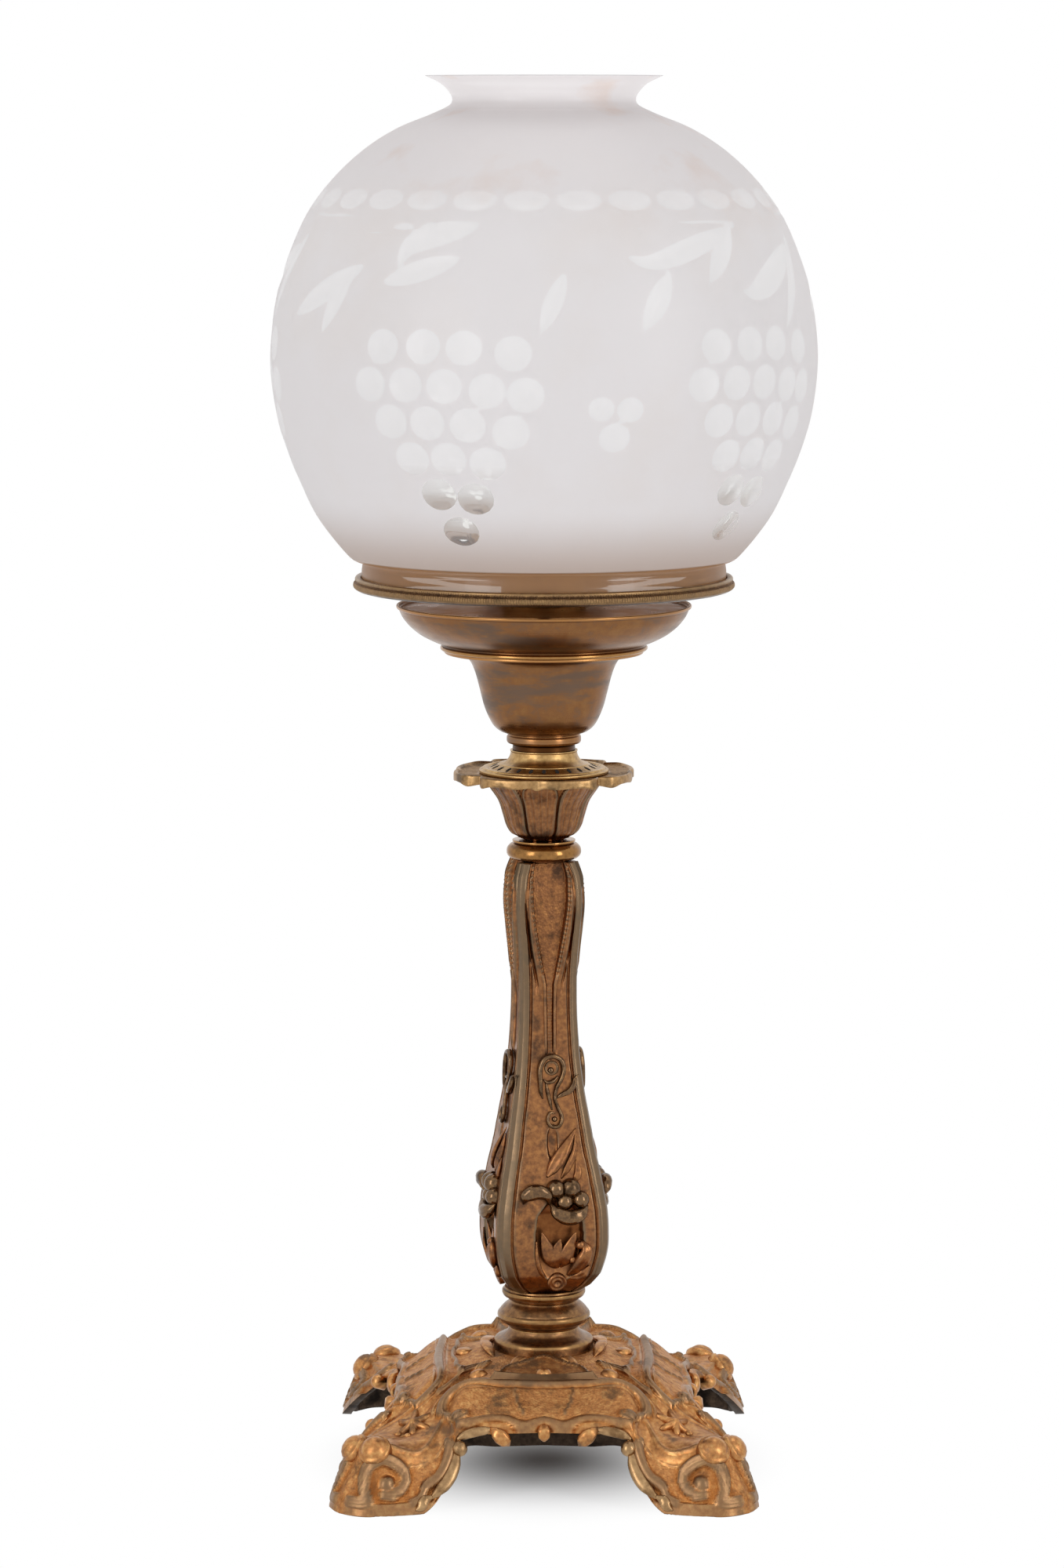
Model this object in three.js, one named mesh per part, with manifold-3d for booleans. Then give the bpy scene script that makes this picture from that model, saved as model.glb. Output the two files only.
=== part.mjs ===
// A solar lamp of about 1850: a cut glass globe on a brass ring, an oil font with a
// central draught burner, and a cast and gilt stem on a four-footed base.
// Lengths are millimetres. Z is up, and zero is the surface that the lamp stands on.
// The front of the lamp looks along -Y.

import * as THREE from "three";
import { mergeVertices } from "three/addons/utils/BufferGeometryUtils.js";
import Module from "manifold-3d";

const wasm = await Module();
wasm.setup();

// Clearances.
const seat_gap = 0.1;           // between pieces that stand on each other
const side_gap = 0.3;           // round a piece that fits inside another
const cut_overrun = 2;          // how far a cutter runs past what it cuts

// Base casting.
const base_half = 102;          // from the axis to the outer edge of a foot
const base_height = 51;
const base_wall = 3.4;
const base_seat_radius = 26;    // flat land under the foot collar
const foot_boss_radius = 7.6;
const foot_star_radius = 8.2;
const foot_star_height = 3.2;
const pendant_radius = 3.1;
const pendant_length = 10.5;
const panel_half_width = 45;
const panel_half_height = 7.6;
const panel_depth = 1.1;

// Turned pieces between the base and the stem.
const foot_collar_radius = 27;
const foot_collar_height = 13.9;
const foot_collar_wall = 3;
const knop_radius = 21.7;
const knop_height = 12.9;
const knop_wall = 3;
const flange_radius = 19.5;
const flange_height = 5.9;
const flange_bore = 9;

// Stem casting, a square baluster.
const stem_height = 201.9;
const stem_half_width = 26.5;   // across the widest place, from the axis to a face
const stem_wall = 3.2;
const stem_yaw = 11.5;          // degrees, how the stem has settled on its rod
const strap_width = 4.6;
const strap_height = 0.9;
const strap_edge = 0.3;
const face_recess = 4;
const bead_diameter = 7.4;
const leaf_length = 24;
const leaf_width = 9;
const leaf_height = 5;
const scroll_radius = 5.4;
const scroll_length = 5;

// Polished ring and capital.
const torus_radius = 17.3;
const torus_height = 9.4;
const torus_bore = 8;
const cup_radius = 27;
const cup_height = 28.4;
const cup_wall = 2.8;
const cup_lobe_height = 0.9;
const plate_radius = 41.5;
const plate_thickness = 2.4;
const ear_rise = 2.4;           // of an ear's rim above the plate
const ear_drop = 0.9;           // of an ear's edge below the plate
const plate_bore = 24.4;
const plate_yaw = -4.5;         // degrees, how the plate has settled on its rod

// Air inlet between the capital and the font.
const dish_radius = 30;
const dish_height = 3.4;
const dish_floor = 1.4;
const dish_step = 1.4;
const dish_well_radius = 25.8;
const air_slot_count = 12;
const air_slot_length = 3.4;
const air_slot_width = 1.7;
const air_port_count = 4;
const air_port_radius = 3;
const air_port_distance = 12.5;
const cone_radius = 20.5;
const cone_height = 9.3;
const cone_wall = 2.1;

// Font: collar, bell, bowl and cover.
const font_collar_radius = 17.2;
const font_collar_groove = 14.5;
const font_collar_height = 7.4;
const font_thread_radius = 12.6;
const font_thread_length = 6;
const bell_flange_radius = 46;
const bell_waist = 36;
const bell_height = 38.6;
const font_wall = 1.3;
const font_lip_radius = 47.7;
const font_lip_height = 3.2;
const font_lip_step = 0.9;
const font_seat_radius = 40;
const bowl_radius = 68.1;
const bowl_height = 21.2;
const cover_drop = 1.8;         // from the bowl's rim down to the cover's edge
const cover_thickness = 1.2;
const cover_rise = 2.4;
const filler_angle = 60;        // degrees from +X
const filler_distance = 45;
const filler_neck_radius = 6.6;
const filler_neck_height = 3.2;
const filler_wall = 1.3;
const filler_cap_radius = 7.8;
const filler_cap_room = 1.2;     // between the neck's top and the cap
const filler_cap_top = 0.9;

// Burner.
const burner_rise = 20.5;       // of the wick tube above the font's cover
const burner_tube_radius = 15.6;
const burner_tube_wall = 1;
const feed_notch_width = 5;
const feed_notch_height = 4;
const collar_flange_radius = 21.5;
const collar_flange_height = 2.4;
const collar_skirt_wall = 1.1;
const collar_skirt_depth = 6;
const draft_drop = 2;           // of the air tube's top below the wick tube's
const draft_radius = 11;
const draft_wall = 1.7;
const groove_pitch = 25;        // the wick climbs this much in one turn
const groove_width = 3.2;
const groove_depth = 0.9;
const groove_margin = 5;
const driver_wall = 0.9;
const driver_flange_radius = 18.2;
const driver_flange_height = 1.2;
const driver_slot_width = 3;
const driver_slot_margin = 5;
const driver_foot_height = 5;
const carrier_wall = 1.5;
const carrier_height = 8;
const carrier_gap = 0.4;        // round the wick's carrier, inside and out
const carrier_drop = 36;        // from the top of the wick to the top of its carrier
const peg_radius = 1;
const peg_angle = 1.6;          // radians from +X
const wick_rise = 8.4;          // above rest, at the upper stop
const wick_fall = 25;           // below rest, at the lower stop

// Turning ring with its spider, gallery and solar cap.
const hub_wall = 1.2;
const hub_flange_height = 1.2;
const arm_width = 6;
const arm_thickness = 2;
const arm_end_height = 7.4;
const arm_count = 4;
const screw_radius = 1.3;
const screw_head_radius = 2.7;
const screw_head_height = 1.7;
const gallery_radius = 31;
const gallery_wall = 1;
const gallery_splay = 1.2;
const gallery_height = 17;
const gallery_base_height = 5;
const gallery_finger_count = 8;
const gallery_gap_width = 6;
const cap_radius = 28.4;
const cap_height = 22;
const cap_hole = 11.5;
const cap_wall = 0.9;

// Shade ring and globe.
const ring_radius = 87.9;
const ring_height = 11.4;
const ring_lift = 6.3;          // of the ring above the font's bowl
const ring_shelf_radius = 68.5;
const ring_shelf_thickness = 2.8;
const fitter_radius = 83.9;
const fitter_height = 11.9;
const globe_radius = 125.2;
const globe_lower_height = 100;
const globe_upper_height = 107;
const globe_neck_radius = 41.7;
const globe_rim_height = 13;
const globe_rim_radius = 54.3;
const glass_wall = 2.8;

// Tie rod.
const rod_radius = 3.1;
const rod_end = 1.5;            // of the rod past its nuts
const washer_radius = 13;
const washer_thickness = 1.6;
const nut_radius = 6.8;
const nut_height = 5.4;

// Numbers of sides and steps.
const large_sides = 24;
const medium_sides = 20;
const small_sides = 16;
const tiny_sides = 8;
const screw_sides = 6;
const nut_corners = 6;
const cup_sides = 24;
const drop_sides = 5;
const drop_bands = 4;
const dome_bands = 2;
const base_steps = 6;
const panel_steps = 2;
const torus_steps = 6;
const groove_steps = 14;
const merge_distance = 1e-4;
const half = 0.5;
const quarter_turns = [[1, 0], [0, 1], [-1, 0], [0, -1]];

// Base outlines. Each row runs from the middle of a side to the corner, as shares of
// base_half along the side and out from the axis, and of base_height upwards.
const rim_shares = [
  [0, 0.75, 0.65], [0.196, 0.75, 0.637], [0.363, 0.76, 0.608], [0.426, 0.828, 0.363],
  [0.559, 0.941, 0], [0.775, 0.975, 0], [0.897, 0.897, 0],
];
const band_shares = [
  [0, 0.74, 0.725], [0.196, 0.74, 0.716], [0.368, 0.745, 0.716], [0.456, 0.819, 0.451],
  [0.588, 0.926, 0.118], [0.765, 0.961, 0.118], [0.887, 0.887, 0.108],
];
const face_shares = [
  [0, 0.696, 0.804], [0.196, 0.696, 0.804], [0.377, 0.711, 0.755], [0.466, 0.789, 0.51],
  [0.603, 0.877, 0.314], [0.745, 0.912, 0.333], [0.838, 0.838, 0.275],
];
const edge_shares = [
  [0, 0.623, 0.882], [0.196, 0.623, 0.882], [0.377, 0.647, 0.804], [0.466, 0.755, 0.559],
  [0.608, 0.828, 0.51], [0.721, 0.848, 0.559], [0.779, 0.779, 0.441],
];
const slope_shares = [
  [0, 0.559, 0.961], [0.186, 0.559, 0.961], [0.358, 0.564, 0.941], [0.441, 0.618, 0.745],
  [0.52, 0.652, 0.637], [0.578, 0.652, 0.598], [0.623, 0.623, 0.549],
];
const plateau_shares = [
  [0, 0.49, 0.99], [0.167, 0.49, 0.99], [0.304, 0.485, 0.986], [0.377, 0.49, 0.941],
  [0.426, 0.495, 0.882], [0.461, 0.495, 0.843], [0.485, 0.485, 0.804],
];
const boss_place_shares = [0.765, 0.765, 0.431];
const star_place_shares = [0.569, 0.569, 0.6];
const star_waist_share = 0.45;
const star_corners = 12;
const leg_slope = 0.5;          // radians below level, along a corner's diagonal
const pendant_place_shares = [0.181, 0.755, 0.6];

// Corners and waves of the sunk panel on each side of the base.
const panel_place_shares = [0, 0.652, 0.853];
const panel_slope = 0.576;      // radians below level
const panel_corner_share = 0.88;
const panel_foot_share = 0.8;
const panel_wave_share = 0.45;
const panel_rise_share = 0.35;

// Radius and height along each turned outline, from the bottom up, as shares of the
// piece's greatest radius and of its height.
const foot_collar_shares = [
  [1, 0], [0.9, 0.22], [0.856, 0.34], [0.87, 0.44], [0.859, 0.64], [0.78, 0.8], [0.65, 1],
];
const knop_shares = [
  [0.8, 0], [0.93, 0.12], [0.985, 0.25], [1, 0.42], [0.97, 0.59], [0.87, 0.77], [0.71, 1],
];
const flange_shares = [[0.8, 0], [0.97, 0.3], [1, 0.48], [1, 0.74], [0.93, 1]];

// Stem stations from the bottom up: height, face distance, recess half width and recess
// depth, as shares of stem_height, stem_half_width, the room between straps, face_recess.
const stem_shares = [
  [0, 0.6, 0.12, 0], [0.017, 0.747, 0.14, 0], [0.046, 0.888, 0.22, 0.4],
  [0.1, 0.985, 0.34, 1], [0.148, 1, 0.34, 1], [0.2, 0.98, 0.29, 0.7],
  [0.26, 0.905, 0.26, 0.55], [0.336, 0.796, 0.2, 0.5], [0.39, 0.728, 0.16, 0.3],
  [0.47, 0.632, 0.17, 0.26], [0.55, 0.562, 0.2, 0.28], [0.64, 0.521, 0.26, 0.35],
  [0.725, 0.51, 0.35, 0.36], [0.787, 0.525, 0.55, 0.36], [0.85, 0.558, 0.79, 0.36],
  [0.91, 0.581, 0.89, 0.36], [0.965, 0.55, 0.9, 0.3], [1, 0.475, 0.88, 0.2],
];
const stem_inner_every = 6;
const recess_floor_share = 0.85;
const leaf_height_share = 0.31;
const leaf_tilt = -0.35;        // radians off upright
const flower_height_share = 0.19;
const flower_shares = [[-0.75, 0.2], [0.65, 0.1]];  // of bead_diameter, along and up
const scroll_height_share = 0.032;

// Capital. The plate's outer edge runs from the middle of an ear to the notch between two
// ears, as degrees round and shares of plate_radius.
const cup_shares = [
  [0.4, 0], [0.42, 0.05], [0.57, 0.09], [0.65, 0.25], [0.71, 0.45], [0.8, 0.67], [0.95, 0.86],
  [1, 1],
];
const cup_inner_every = 3;
const cup_lobe_count = 8;
const ear_edge_shares = [[0, 0.978], [6, 1], [20, 1.03], [34, 1.04], [42, 0.985], [45, 0.925]];
const ear_foot_share = 0.9;
const ear_crest_share = 0.965;
const ear_under_share = 0.86;
const ear_lift_share = 0.3;

// From the widest radius of each outline to its narrowest, or the other way about.
const cone_shares = [[1, 0], [0.56, 0.12], [0.24, 0.38], [0.07, 0.7], [0, 1]];
const collar_shares = [[0, 0], [0, 0.35], [0.78, 0.44], [1, 0.52], [1, 0.93], [0.85, 1]];
const bell_shares = [
  [0.478, 0], [0.6, 0.06], [0.7, 0.175], [0.77, 0.33], [0.82, 0.52], [0.88, 0.75],
  [1, 0.945],
];
const bowl_shares = [
  [0.02, 0.165], [0.25, 0.23], [0.5, 0.36], [0.73, 0.545], [0.88, 0.74], [1, 1],
];
const ring_shares = [
  [0, 0], [0.36, 0], [0.42, 0.12], [0.84, 0.17], [1, 0.44], [1, 0.62], [0.93, 0.7], [0.97, 0.84],
  [0.91, 1],
];
const cap_shares = [[1, 0], [1, 0.56], [0.93, 0.76], [0.68, 0.91], [0, 1]];

// The globe below its widest place, from the fitter outwards, and above it, from the neck.
const globe_lower_shares = [
  [0, 0], [0.138, 0.014], [0.472, 0.187], [0.68, 0.36], [0.845, 0.533], [0.955, 0.71], [1, 0.94],
];
const globe_upper_shares = [
  [0.965, 0.18], [0.895, 0.365], [0.79, 0.545], [0.65, 0.69], [0.48, 0.812], [0.3, 0.9],
  [0.12, 0.958], [0, 1],
];
const globe_rim_shares = [[0.08, 0.35], [0.42, 0.72], [1, 1]];

// Heights of the stack, from the base up.
const foot_collar_bottom = base_height + seat_gap;
const knop_bottom = foot_collar_bottom + foot_collar_height + seat_gap;
const flange_bottom = knop_bottom + knop_height + seat_gap;
const stem_bottom = flange_bottom + flange_height + seat_gap;
const torus_bottom = stem_bottom + stem_height + seat_gap;
const cup_bottom = torus_bottom + torus_height + seat_gap;
const plate_bottom = cup_bottom + cup_height + seat_gap;
const dish_bottom = plate_bottom + plate_thickness + seat_gap;
const cone_bottom = dish_bottom + dish_floor + seat_gap;
const font_collar_bottom = cone_bottom + cone_height + seat_gap;
const bell_bottom = font_collar_bottom + font_collar_height + seat_gap;
const bowl_bottom = bell_bottom + bell_height + seat_gap;
const bowl_top = bowl_bottom + bowl_height;
const cover_edge = bowl_top - cover_drop;
const cover_top = cover_edge + cover_rise;
const collar_flange_bottom = cover_top + seat_gap;
const burner_bottom = bell_bottom + font_wall + side_gap;
const burner_top = cover_top + burner_rise;
const driver_top = burner_top + side_gap + driver_flange_height;
const wick_top = driver_top - side_gap;
const carrier_top = wick_top - carrier_drop;
const peg_height = carrier_top - carrier_height * half;
const ring_bottom = bowl_top + ring_lift;
const arm_bottom = ring_bottom + ring_shelf_thickness + seat_gap;
const arm_top = arm_bottom + arm_thickness;
const gallery_bottom = arm_top + seat_gap;
const cap_bottom = gallery_bottom + gallery_wall + seat_gap;
const hub_bottom = collar_flange_bottom + collar_flange_height + side_gap;
const hub_top = driver_top + seat_gap + hub_flange_height;
const glass_bottom = ring_bottom + ring_shelf_thickness + seat_gap;
const nut_top = base_height - base_wall - side_gap - washer_thickness - seat_gap;
const rod_bottom = nut_top - nut_height - rod_end;
const upper_nut_bottom = dish_bottom + dish_floor + seat_gap;
const rod_top = upper_nut_bottom + nut_height + rod_end;

// Radii that follow from the pieces inside.
const rod_bore = rod_radius + side_gap;
const carrier_inner = draft_radius + carrier_gap;
const carrier_outer = carrier_inner + carrier_wall;
const driver_inner = carrier_outer + carrier_gap;
const driver_outer = driver_inner + driver_wall;
const collar_bore = burner_tube_radius + side_gap;
const cover_hole = collar_bore + collar_skirt_wall + side_gap;
const hub_inner = driver_flange_radius + side_gap;
const hub_outer = hub_inner + hub_wall;
const cone_bore = font_thread_radius + side_gap;
const ring_inner = fitter_radius + side_gap + seat_gap;
const arm_reach = (fitter_radius - glass_wall) * Math.cos(Math.PI / large_sides) - side_gap;
const screw_distance = (ring_shelf_radius + arm_reach) * half;
const screw_hole_radius = screw_radius + side_gap;
const cover_seat_radius = radiusAt(bowlInner(), cover_edge - cover_thickness);
const cover_radius = cover_seat_radius - side_gap;

function merged(geometry) {
  const bare = geometry.clone();
  bare.deleteAttribute("normal");
  bare.deleteAttribute("uv");
  return mergeVertices(bare, merge_distance);
}

function toSolid(geometry) {
  const shape = merged(geometry);
  const vertProperties = new Float32Array(shape.attributes.position.array);
  const triVerts = new Uint32Array(shape.index.array);
  return new wasm.Manifold(new wasm.Mesh({ numProp: 3, vertProperties, triVerts }));
}

function toGeometry(solid) {
  const mesh = solid.getMesh();
  const geometry = new THREE.BufferGeometry();
  geometry.setAttribute("position", new THREE.BufferAttribute(mesh.vertProperties, mesh.numProp));
  geometry.setIndex(new THREE.BufferAttribute(mesh.triVerts, 1));
  return geometry;
}

function joined(geometry, additions) {
  let solid = toSolid(geometry);
  for (const addition of additions) {
    solid = solid.add(toSolid(addition));
  }
  return toGeometry(solid);
}

function cut(geometry, cutters) {
  let solid = toSolid(geometry);
  for (const cutter of cutters) {
    solid = solid.subtract(toSolid(cutter));
  }
  return toGeometry(solid);
}

// A closed outline of [radius, height] points, counter-clockwise, turned about the axis.
function turned(outline, sides) {
  const points = outline.map(([radius, height]) => new THREE.Vector2(radius, height));
  points.push(points[0].clone());
  return new THREE.LatheGeometry(points, sides).rotateX(Math.PI * half);
}

// Points [radius, height] from shares of a radius and a height above a level.
function scaled(shares, radius, height, level) {
  return shares.map(([across, up]) => [radius * across, level + height * up]);
}

// Points whose radius runs from one value to another as their share goes from 0 to 1.
function blended(shares, from, to, height, level) {
  return shares.map(([across, up]) => [from + (to - from) * across, level + height * up]);
}

// The inner side of an outline that runs upwards, moved in by the wall along its normal
// and kept between the heights of its two ends.
function insetOutline(outline, wall) {
  const [low, high] = [outline[0][1], outline[outline.length - 1][1]];
  return outline.map(([radius, height], i) => {
    const below = outline[Math.max(i - 1, 0)];
    const above = outline[Math.min(i + 1, outline.length - 1)];
    const run = new THREE.Vector2(above[0] - below[0], above[1] - below[1]).normalize();
    const end = i === 0 || i === outline.length - 1;
    const level = THREE.MathUtils.clamp(height + wall * run.x, low, high);
    return end ? [radius - wall, height] : [radius - wall * run.y, level];
  });
}

// A wall of even thickness whose outer side is the outline.
function shell(outline, wall, sides) {
  return turned([...outline, ...thinned(insetOutline(outline, wall)).reverse()], sides);
}

// Every second point of an outline, with both its ends.
function thinned(outline) {
  return outline.filter((point, i) => i % 2 === 0 || i === outline.length - 1);
}

function radiusAt(outline, height) {
  const next = outline.findIndex((point) => point[1] >= height);
  const [r1, z1] = outline[Math.max(next - 1, 0)];
  const [r2, z2] = outline[next];
  const part = z2 > z1 ? (height - z1) / (z2 - z1) : 0;
  return r1 + (r2 - r1) * part;
}

// A closed skin through rings of [x, y, z] points, the last ring joined to the first.
function loft(rings) {
  const count = rings[0].length;
  const geometry = new THREE.BufferGeometry();
  geometry.setAttribute("position", new THREE.Float32BufferAttribute(rings.flat(2), 3));
  const index = [];
  for (let r = 0; r < rings.length; r++) {
    const next = (r + 1) % rings.length;
    for (let i = 0; i < count; i++) {
      const j = (i + 1) % count;
      index.push(r * count + i, r * count + j, next * count + j);
      index.push(r * count + i, next * count + j, next * count + i);
    }
  }
  geometry.setIndex(index);
  return outward(geometry);
}

// The same skin with its faces pointing out.
function outward(geometry) {
  const place = geometry.attributes.position;
  const index = geometry.index.array;
  const [a, b, c] = [new THREE.Vector3(), new THREE.Vector3(), new THREE.Vector3()];
  let volume = 0;
  for (let i = 0; i < index.length; i += 3) {
    a.fromBufferAttribute(place, index[i]);
    b.fromBufferAttribute(place, index[i + 1]);
    c.fromBufferAttribute(place, index[i + 2]);
    volume += a.dot(b.cross(c));
  }
  if (volume < 0) {
    geometry.setIndex([...index].reverse());
  }
  return geometry;
}

// A ball drawn out along Z to a length.
function drop(radius, length) {
  const shape = new THREE.SphereGeometry(radius, drop_sides, drop_bands).rotateX(Math.PI * half);
  return shape.scale(1, 1, (length * half) / radius);
}

// Copies of a shape turned about the lamp's axis.
function around(geometry, count, start = 0) {
  const copies = [];
  for (let i = 0; i < count; i++) {
    copies.push(geometry.clone().rotateZ(start + (i * Math.PI * 2) / count));
  }
  return copies;
}

// A shape and its mirror image across the plane through the axis and -Y.
function pair(shape) {
  const mirrored = merged(shape).scale(-1, 1, 1);
  return [shape, outward(mirrored)];
}

// One ring of the base: a smooth curve over an eighth, mirrored and repeated.
function baseRing(shares) {
  const points = shares.map(([along, out, up]) => (
    new THREE.Vector3(along * base_half, out * base_half, up * base_height)));
  const curve = new THREE.CatmullRomCurve3(points, false, "catmullrom");
  const eighth = [];
  for (let i = 0; i <= base_steps; i++) {
    const point = curve.getPoint(i / base_steps);
    eighth.push([point.y, point.x, Math.max(point.z, 0)]);
  }
  const quarter = eighth.slice(0, -1);
  for (let i = base_steps; i > 0; i--) {
    quarter.push([eighth[i][1], eighth[i][0], eighth[i][2]]);
  }
  const ring = [];
  for (const [cos, sin] of quarter_turns) {
    for (const [x, y, z] of quarter) {
      ring.push([x * cos - y * sin, x * sin + y * cos, z]);
    }
  }
  return ring;
}

// A level circle whose points lie in the same directions as those of another ring.
function circleRing(like, radius, height) {
  return like.map(([x, y]) => {
    const reach = radius / Math.hypot(x, y);
    return [x * reach, y * reach, height];
  });
}

// A ring moved into the casting by the wall, square to the surface.
function insetRing(rings, r, wall) {
  const ring = rings[r];
  const count = ring.length;
  return ring.map((point, i) => {
    const round = new THREE.Vector3(...ring[(i + 1) % count]);
    round.sub(new THREE.Vector3(...ring[(i + count - 1) % count]));
    const down = new THREE.Vector3(...rings[r + 1][i]).sub(new THREE.Vector3(...rings[r - 1][i]));
    const normal = down.cross(round).normalize();
    const place = new THREE.Vector3(...point).addScaledVector(normal, -wall);
    return [place.x, place.y, Math.max(place.z, 0)];
  });
}

// A place on the front side of the base from its shares.
function basePlace([along, out, up]) {
  return [along * base_half, -out * base_half, up * base_height];
}

// A low dome on a short round foot that sinks into what carries it.
function dome(radius, depth) {
  const outline = [[0, -depth], [radius, -depth]];
  for (let i = 0; i <= dome_bands; i++) {
    const angle = (Math.PI * half * i) / dome_bands;
    outline.push([radius * Math.cos(angle), radius * Math.sin(angle)]);
  }
  return turned(outline, tiny_sides);
}

// A six-pointed star with a ridge down each ray.
function star(radius, height, depth) {
  const points = [0, 0, height, 0, 0, -depth];
  const index = [];
  for (let i = 0; i < star_corners; i++) {
    const reach = i % 2 ? radius * star_waist_share : radius;
    const angle = (Math.PI * 2 * i) / star_corners;
    points.push(reach * Math.cos(angle), reach * Math.sin(angle), 0);
    const next = (i + 1) % star_corners;
    index.push(0, i + 2, next + 2, 1, next + 2, i + 2);
  }
  const geometry = new THREE.BufferGeometry();
  geometry.setAttribute("position", new THREE.Float32BufferAttribute(points, 3));
  geometry.setIndex(index);
  return geometry;
}

// What stands proud of the base at one corner and along one side.
function baseRelief() {
  const boss = dome(foot_boss_radius, base_wall * half);
  boss.translate(...basePlace(boss_place_shares));
  const ray = star(foot_star_radius, foot_star_height, base_wall * half);
  const across = new THREE.Vector3(1, 1, 0).normalize();
  ray.applyMatrix4(new THREE.Matrix4().makeRotationAxis(across, leg_slope));
  ray.translate(...basePlace(star_place_shares));
  const pendant = drop(pendant_radius, pendant_length);
  pendant.translate(...basePlace(pendant_place_shares));
  return [boss, ray, ...pair(pendant)];
}

// The sunk field of a side's framed panel, as a cutter.
function sidePanel() {
  const w = panel_half_width;
  const h = panel_half_height;
  const corner = w * panel_corner_share;
  const [foot, low] = [w * panel_foot_share, -h * panel_foot_share];
  const [wave, rise] = [w * panel_wave_share, -h * panel_rise_share];
  const outline = new THREE.Shape();
  outline.moveTo(-corner, h);
  outline.lineTo(corner, h);
  outline.quadraticCurveTo(w, h, w, 0);
  outline.quadraticCurveTo(w, -h, foot, low);
  outline.quadraticCurveTo(wave, rise, 0, -h);
  outline.quadraticCurveTo(-wave, rise, -foot, low);
  outline.quadraticCurveTo(-w, -h, -w, 0);
  outline.quadraticCurveTo(-w, h, -corner, h);
  const sunk = new THREE.ExtrudeGeometry(outline, {
    depth: panel_depth + cut_overrun, bevelEnabled: false, curveSegments: panel_steps,
  });
  sunk.translate(0, 0, -panel_depth);
  sunk.rotateX(panel_slope);
  return sunk.translate(...basePlace(panel_place_shares));
}

// The base is one hollow casting, so its rings run out over the top, round the rim and
// back along the inside to the bore for the tie rod.
function baseCasting() {
  const tables = [plateau_shares, slope_shares, edge_shares, face_shares, band_shares, rim_shares];
  const outer = tables.map(baseRing);
  const seat = circleRing(outer[0], base_seat_radius, base_height);
  const rings = [seat, ...outer];
  const [band, rim] = rings.slice(-2);
  const insideBand = insetRing(rings, rings.length - 2, base_wall);
  const insideRim = rim.map(([x, y, z], i) => [
    x + insideBand[i][0] - band[i][0], y + insideBand[i][1] - band[i][1], z]);
  const skin = loft([
    circleRing(seat, rod_bore, base_height), ...rings, insideRim, insideBand,
    insetRing(rings, 3, base_wall), insetRing(rings, 1, base_wall),
    circleRing(seat, washer_radius + base_wall, base_height - base_wall),
    circleRing(seat, rod_bore, base_height - base_wall),
  ]);
  const relief = baseRelief().flatMap((shape) => around(shape, quarter_turns.length));
  return cut(joined(skin, relief), around(sidePanel(), quarter_turns.length));
}

// Cast and turned pieces threaded on the tie rod, hollow inside.
function footCollar() {
  const [radius, height] = [foot_collar_radius, foot_collar_height];
  const outline = scaled(foot_collar_shares, radius, height, foot_collar_bottom);
  return shell(outline, foot_collar_wall, medium_sides);
}

function knop() {
  const outline = scaled(knop_shares, knop_radius, knop_height, knop_bottom);
  return shell(outline, knop_wall, medium_sides);
}

function stemFlange() {
  const outline = scaled(flange_shares, flange_radius, flange_height, flange_bottom);
  const top = flange_bottom + flange_height;
  return turned([...outline, [flange_bore, top], [flange_bore, flange_bottom]], medium_sides);
}

function torusRing() {
  const round = torus_height * half;
  const outline = [[torus_bore, torus_bottom]];
  for (let i = 0; i <= torus_steps; i++) {
    const angle = (i / torus_steps - half) * Math.PI;
    const radius = torus_radius - round + round * Math.cos(angle);
    outline.push([radius, torus_bottom + round + round * Math.sin(angle)]);
  }
  outline.push([torus_bore, torus_bottom + torus_height]);
  return turned(outline, medium_sides);
}

// The stem's section from the middle of one face to the middle of the next.
function stemQuarter(face, recess, depth) {
  const inner = face - strap_width;
  const proud = face + strap_height;
  const floor = face - depth;
  return [
    [floor, 0], [floor, recess * recess_floor_share], [face, recess], [face, inner - strap_edge],
    [proud, inner], [inner, proud], [inner - strap_edge, face],
    [recess, face], [recess * recess_floor_share, floor],
  ];
}

function stemStation([up, across, recessShare, depthShare]) {
  const face = across * stem_half_width;
  const room = face - strap_width - strap_edge;
  const height = stem_bottom + up * stem_height;
  return { face, height, recess: room * recessShare, depth: face_recess * depthShare };
}

function stemRing(shares) {
  const { face, height, recess, depth } = stemStation(shares);
  const quarter = stemQuarter(face, recess, depth);
  return quarter_turns.flatMap(([cos, sin]) => (
    quarter.map(([x, y]) => [x * cos - y * sin, x * sin + y * cos, height])));
}

// Distance from the axis to halfway down the recess in a face, at a share of the height.
function stemFaceAt(upShare) {
  return radiusAt(stem_shares.map(([up, across, wide, deep]) => (
    [across * stem_half_width - deep * face_recess * half, up])), upShare);
}

// The large ornament cast on one face: a leaf, two balls of a flower and a scroll.
function stemOrnament() {
  const onFace = (shape, upShare, along) => (
    shape.translate(stemFaceAt(upShare), along, stem_bottom + upShare * stem_height));
  const leaf = new THREE.OctahedronGeometry(1);
  leaf.scale(leaf_height * half, leaf_width * half, leaf_length * half).rotateX(leaf_tilt);
  const scroll = new THREE.CylinderGeometry(scroll_radius, scroll_radius, scroll_length, tiny_sides);
  scroll.rotateZ(Math.PI * half);
  const beads = flower_shares.map(([across, up]) => {
    const height = flower_height_share + (up * bead_diameter) / stem_height;
    return onFace(drop(bead_diameter * half, bead_diameter), height, across * bead_diameter);
  });
  return [onFace(leaf, leaf_height_share, 0), onFace(scroll, scroll_height_share, 0), ...beads];
}

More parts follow.
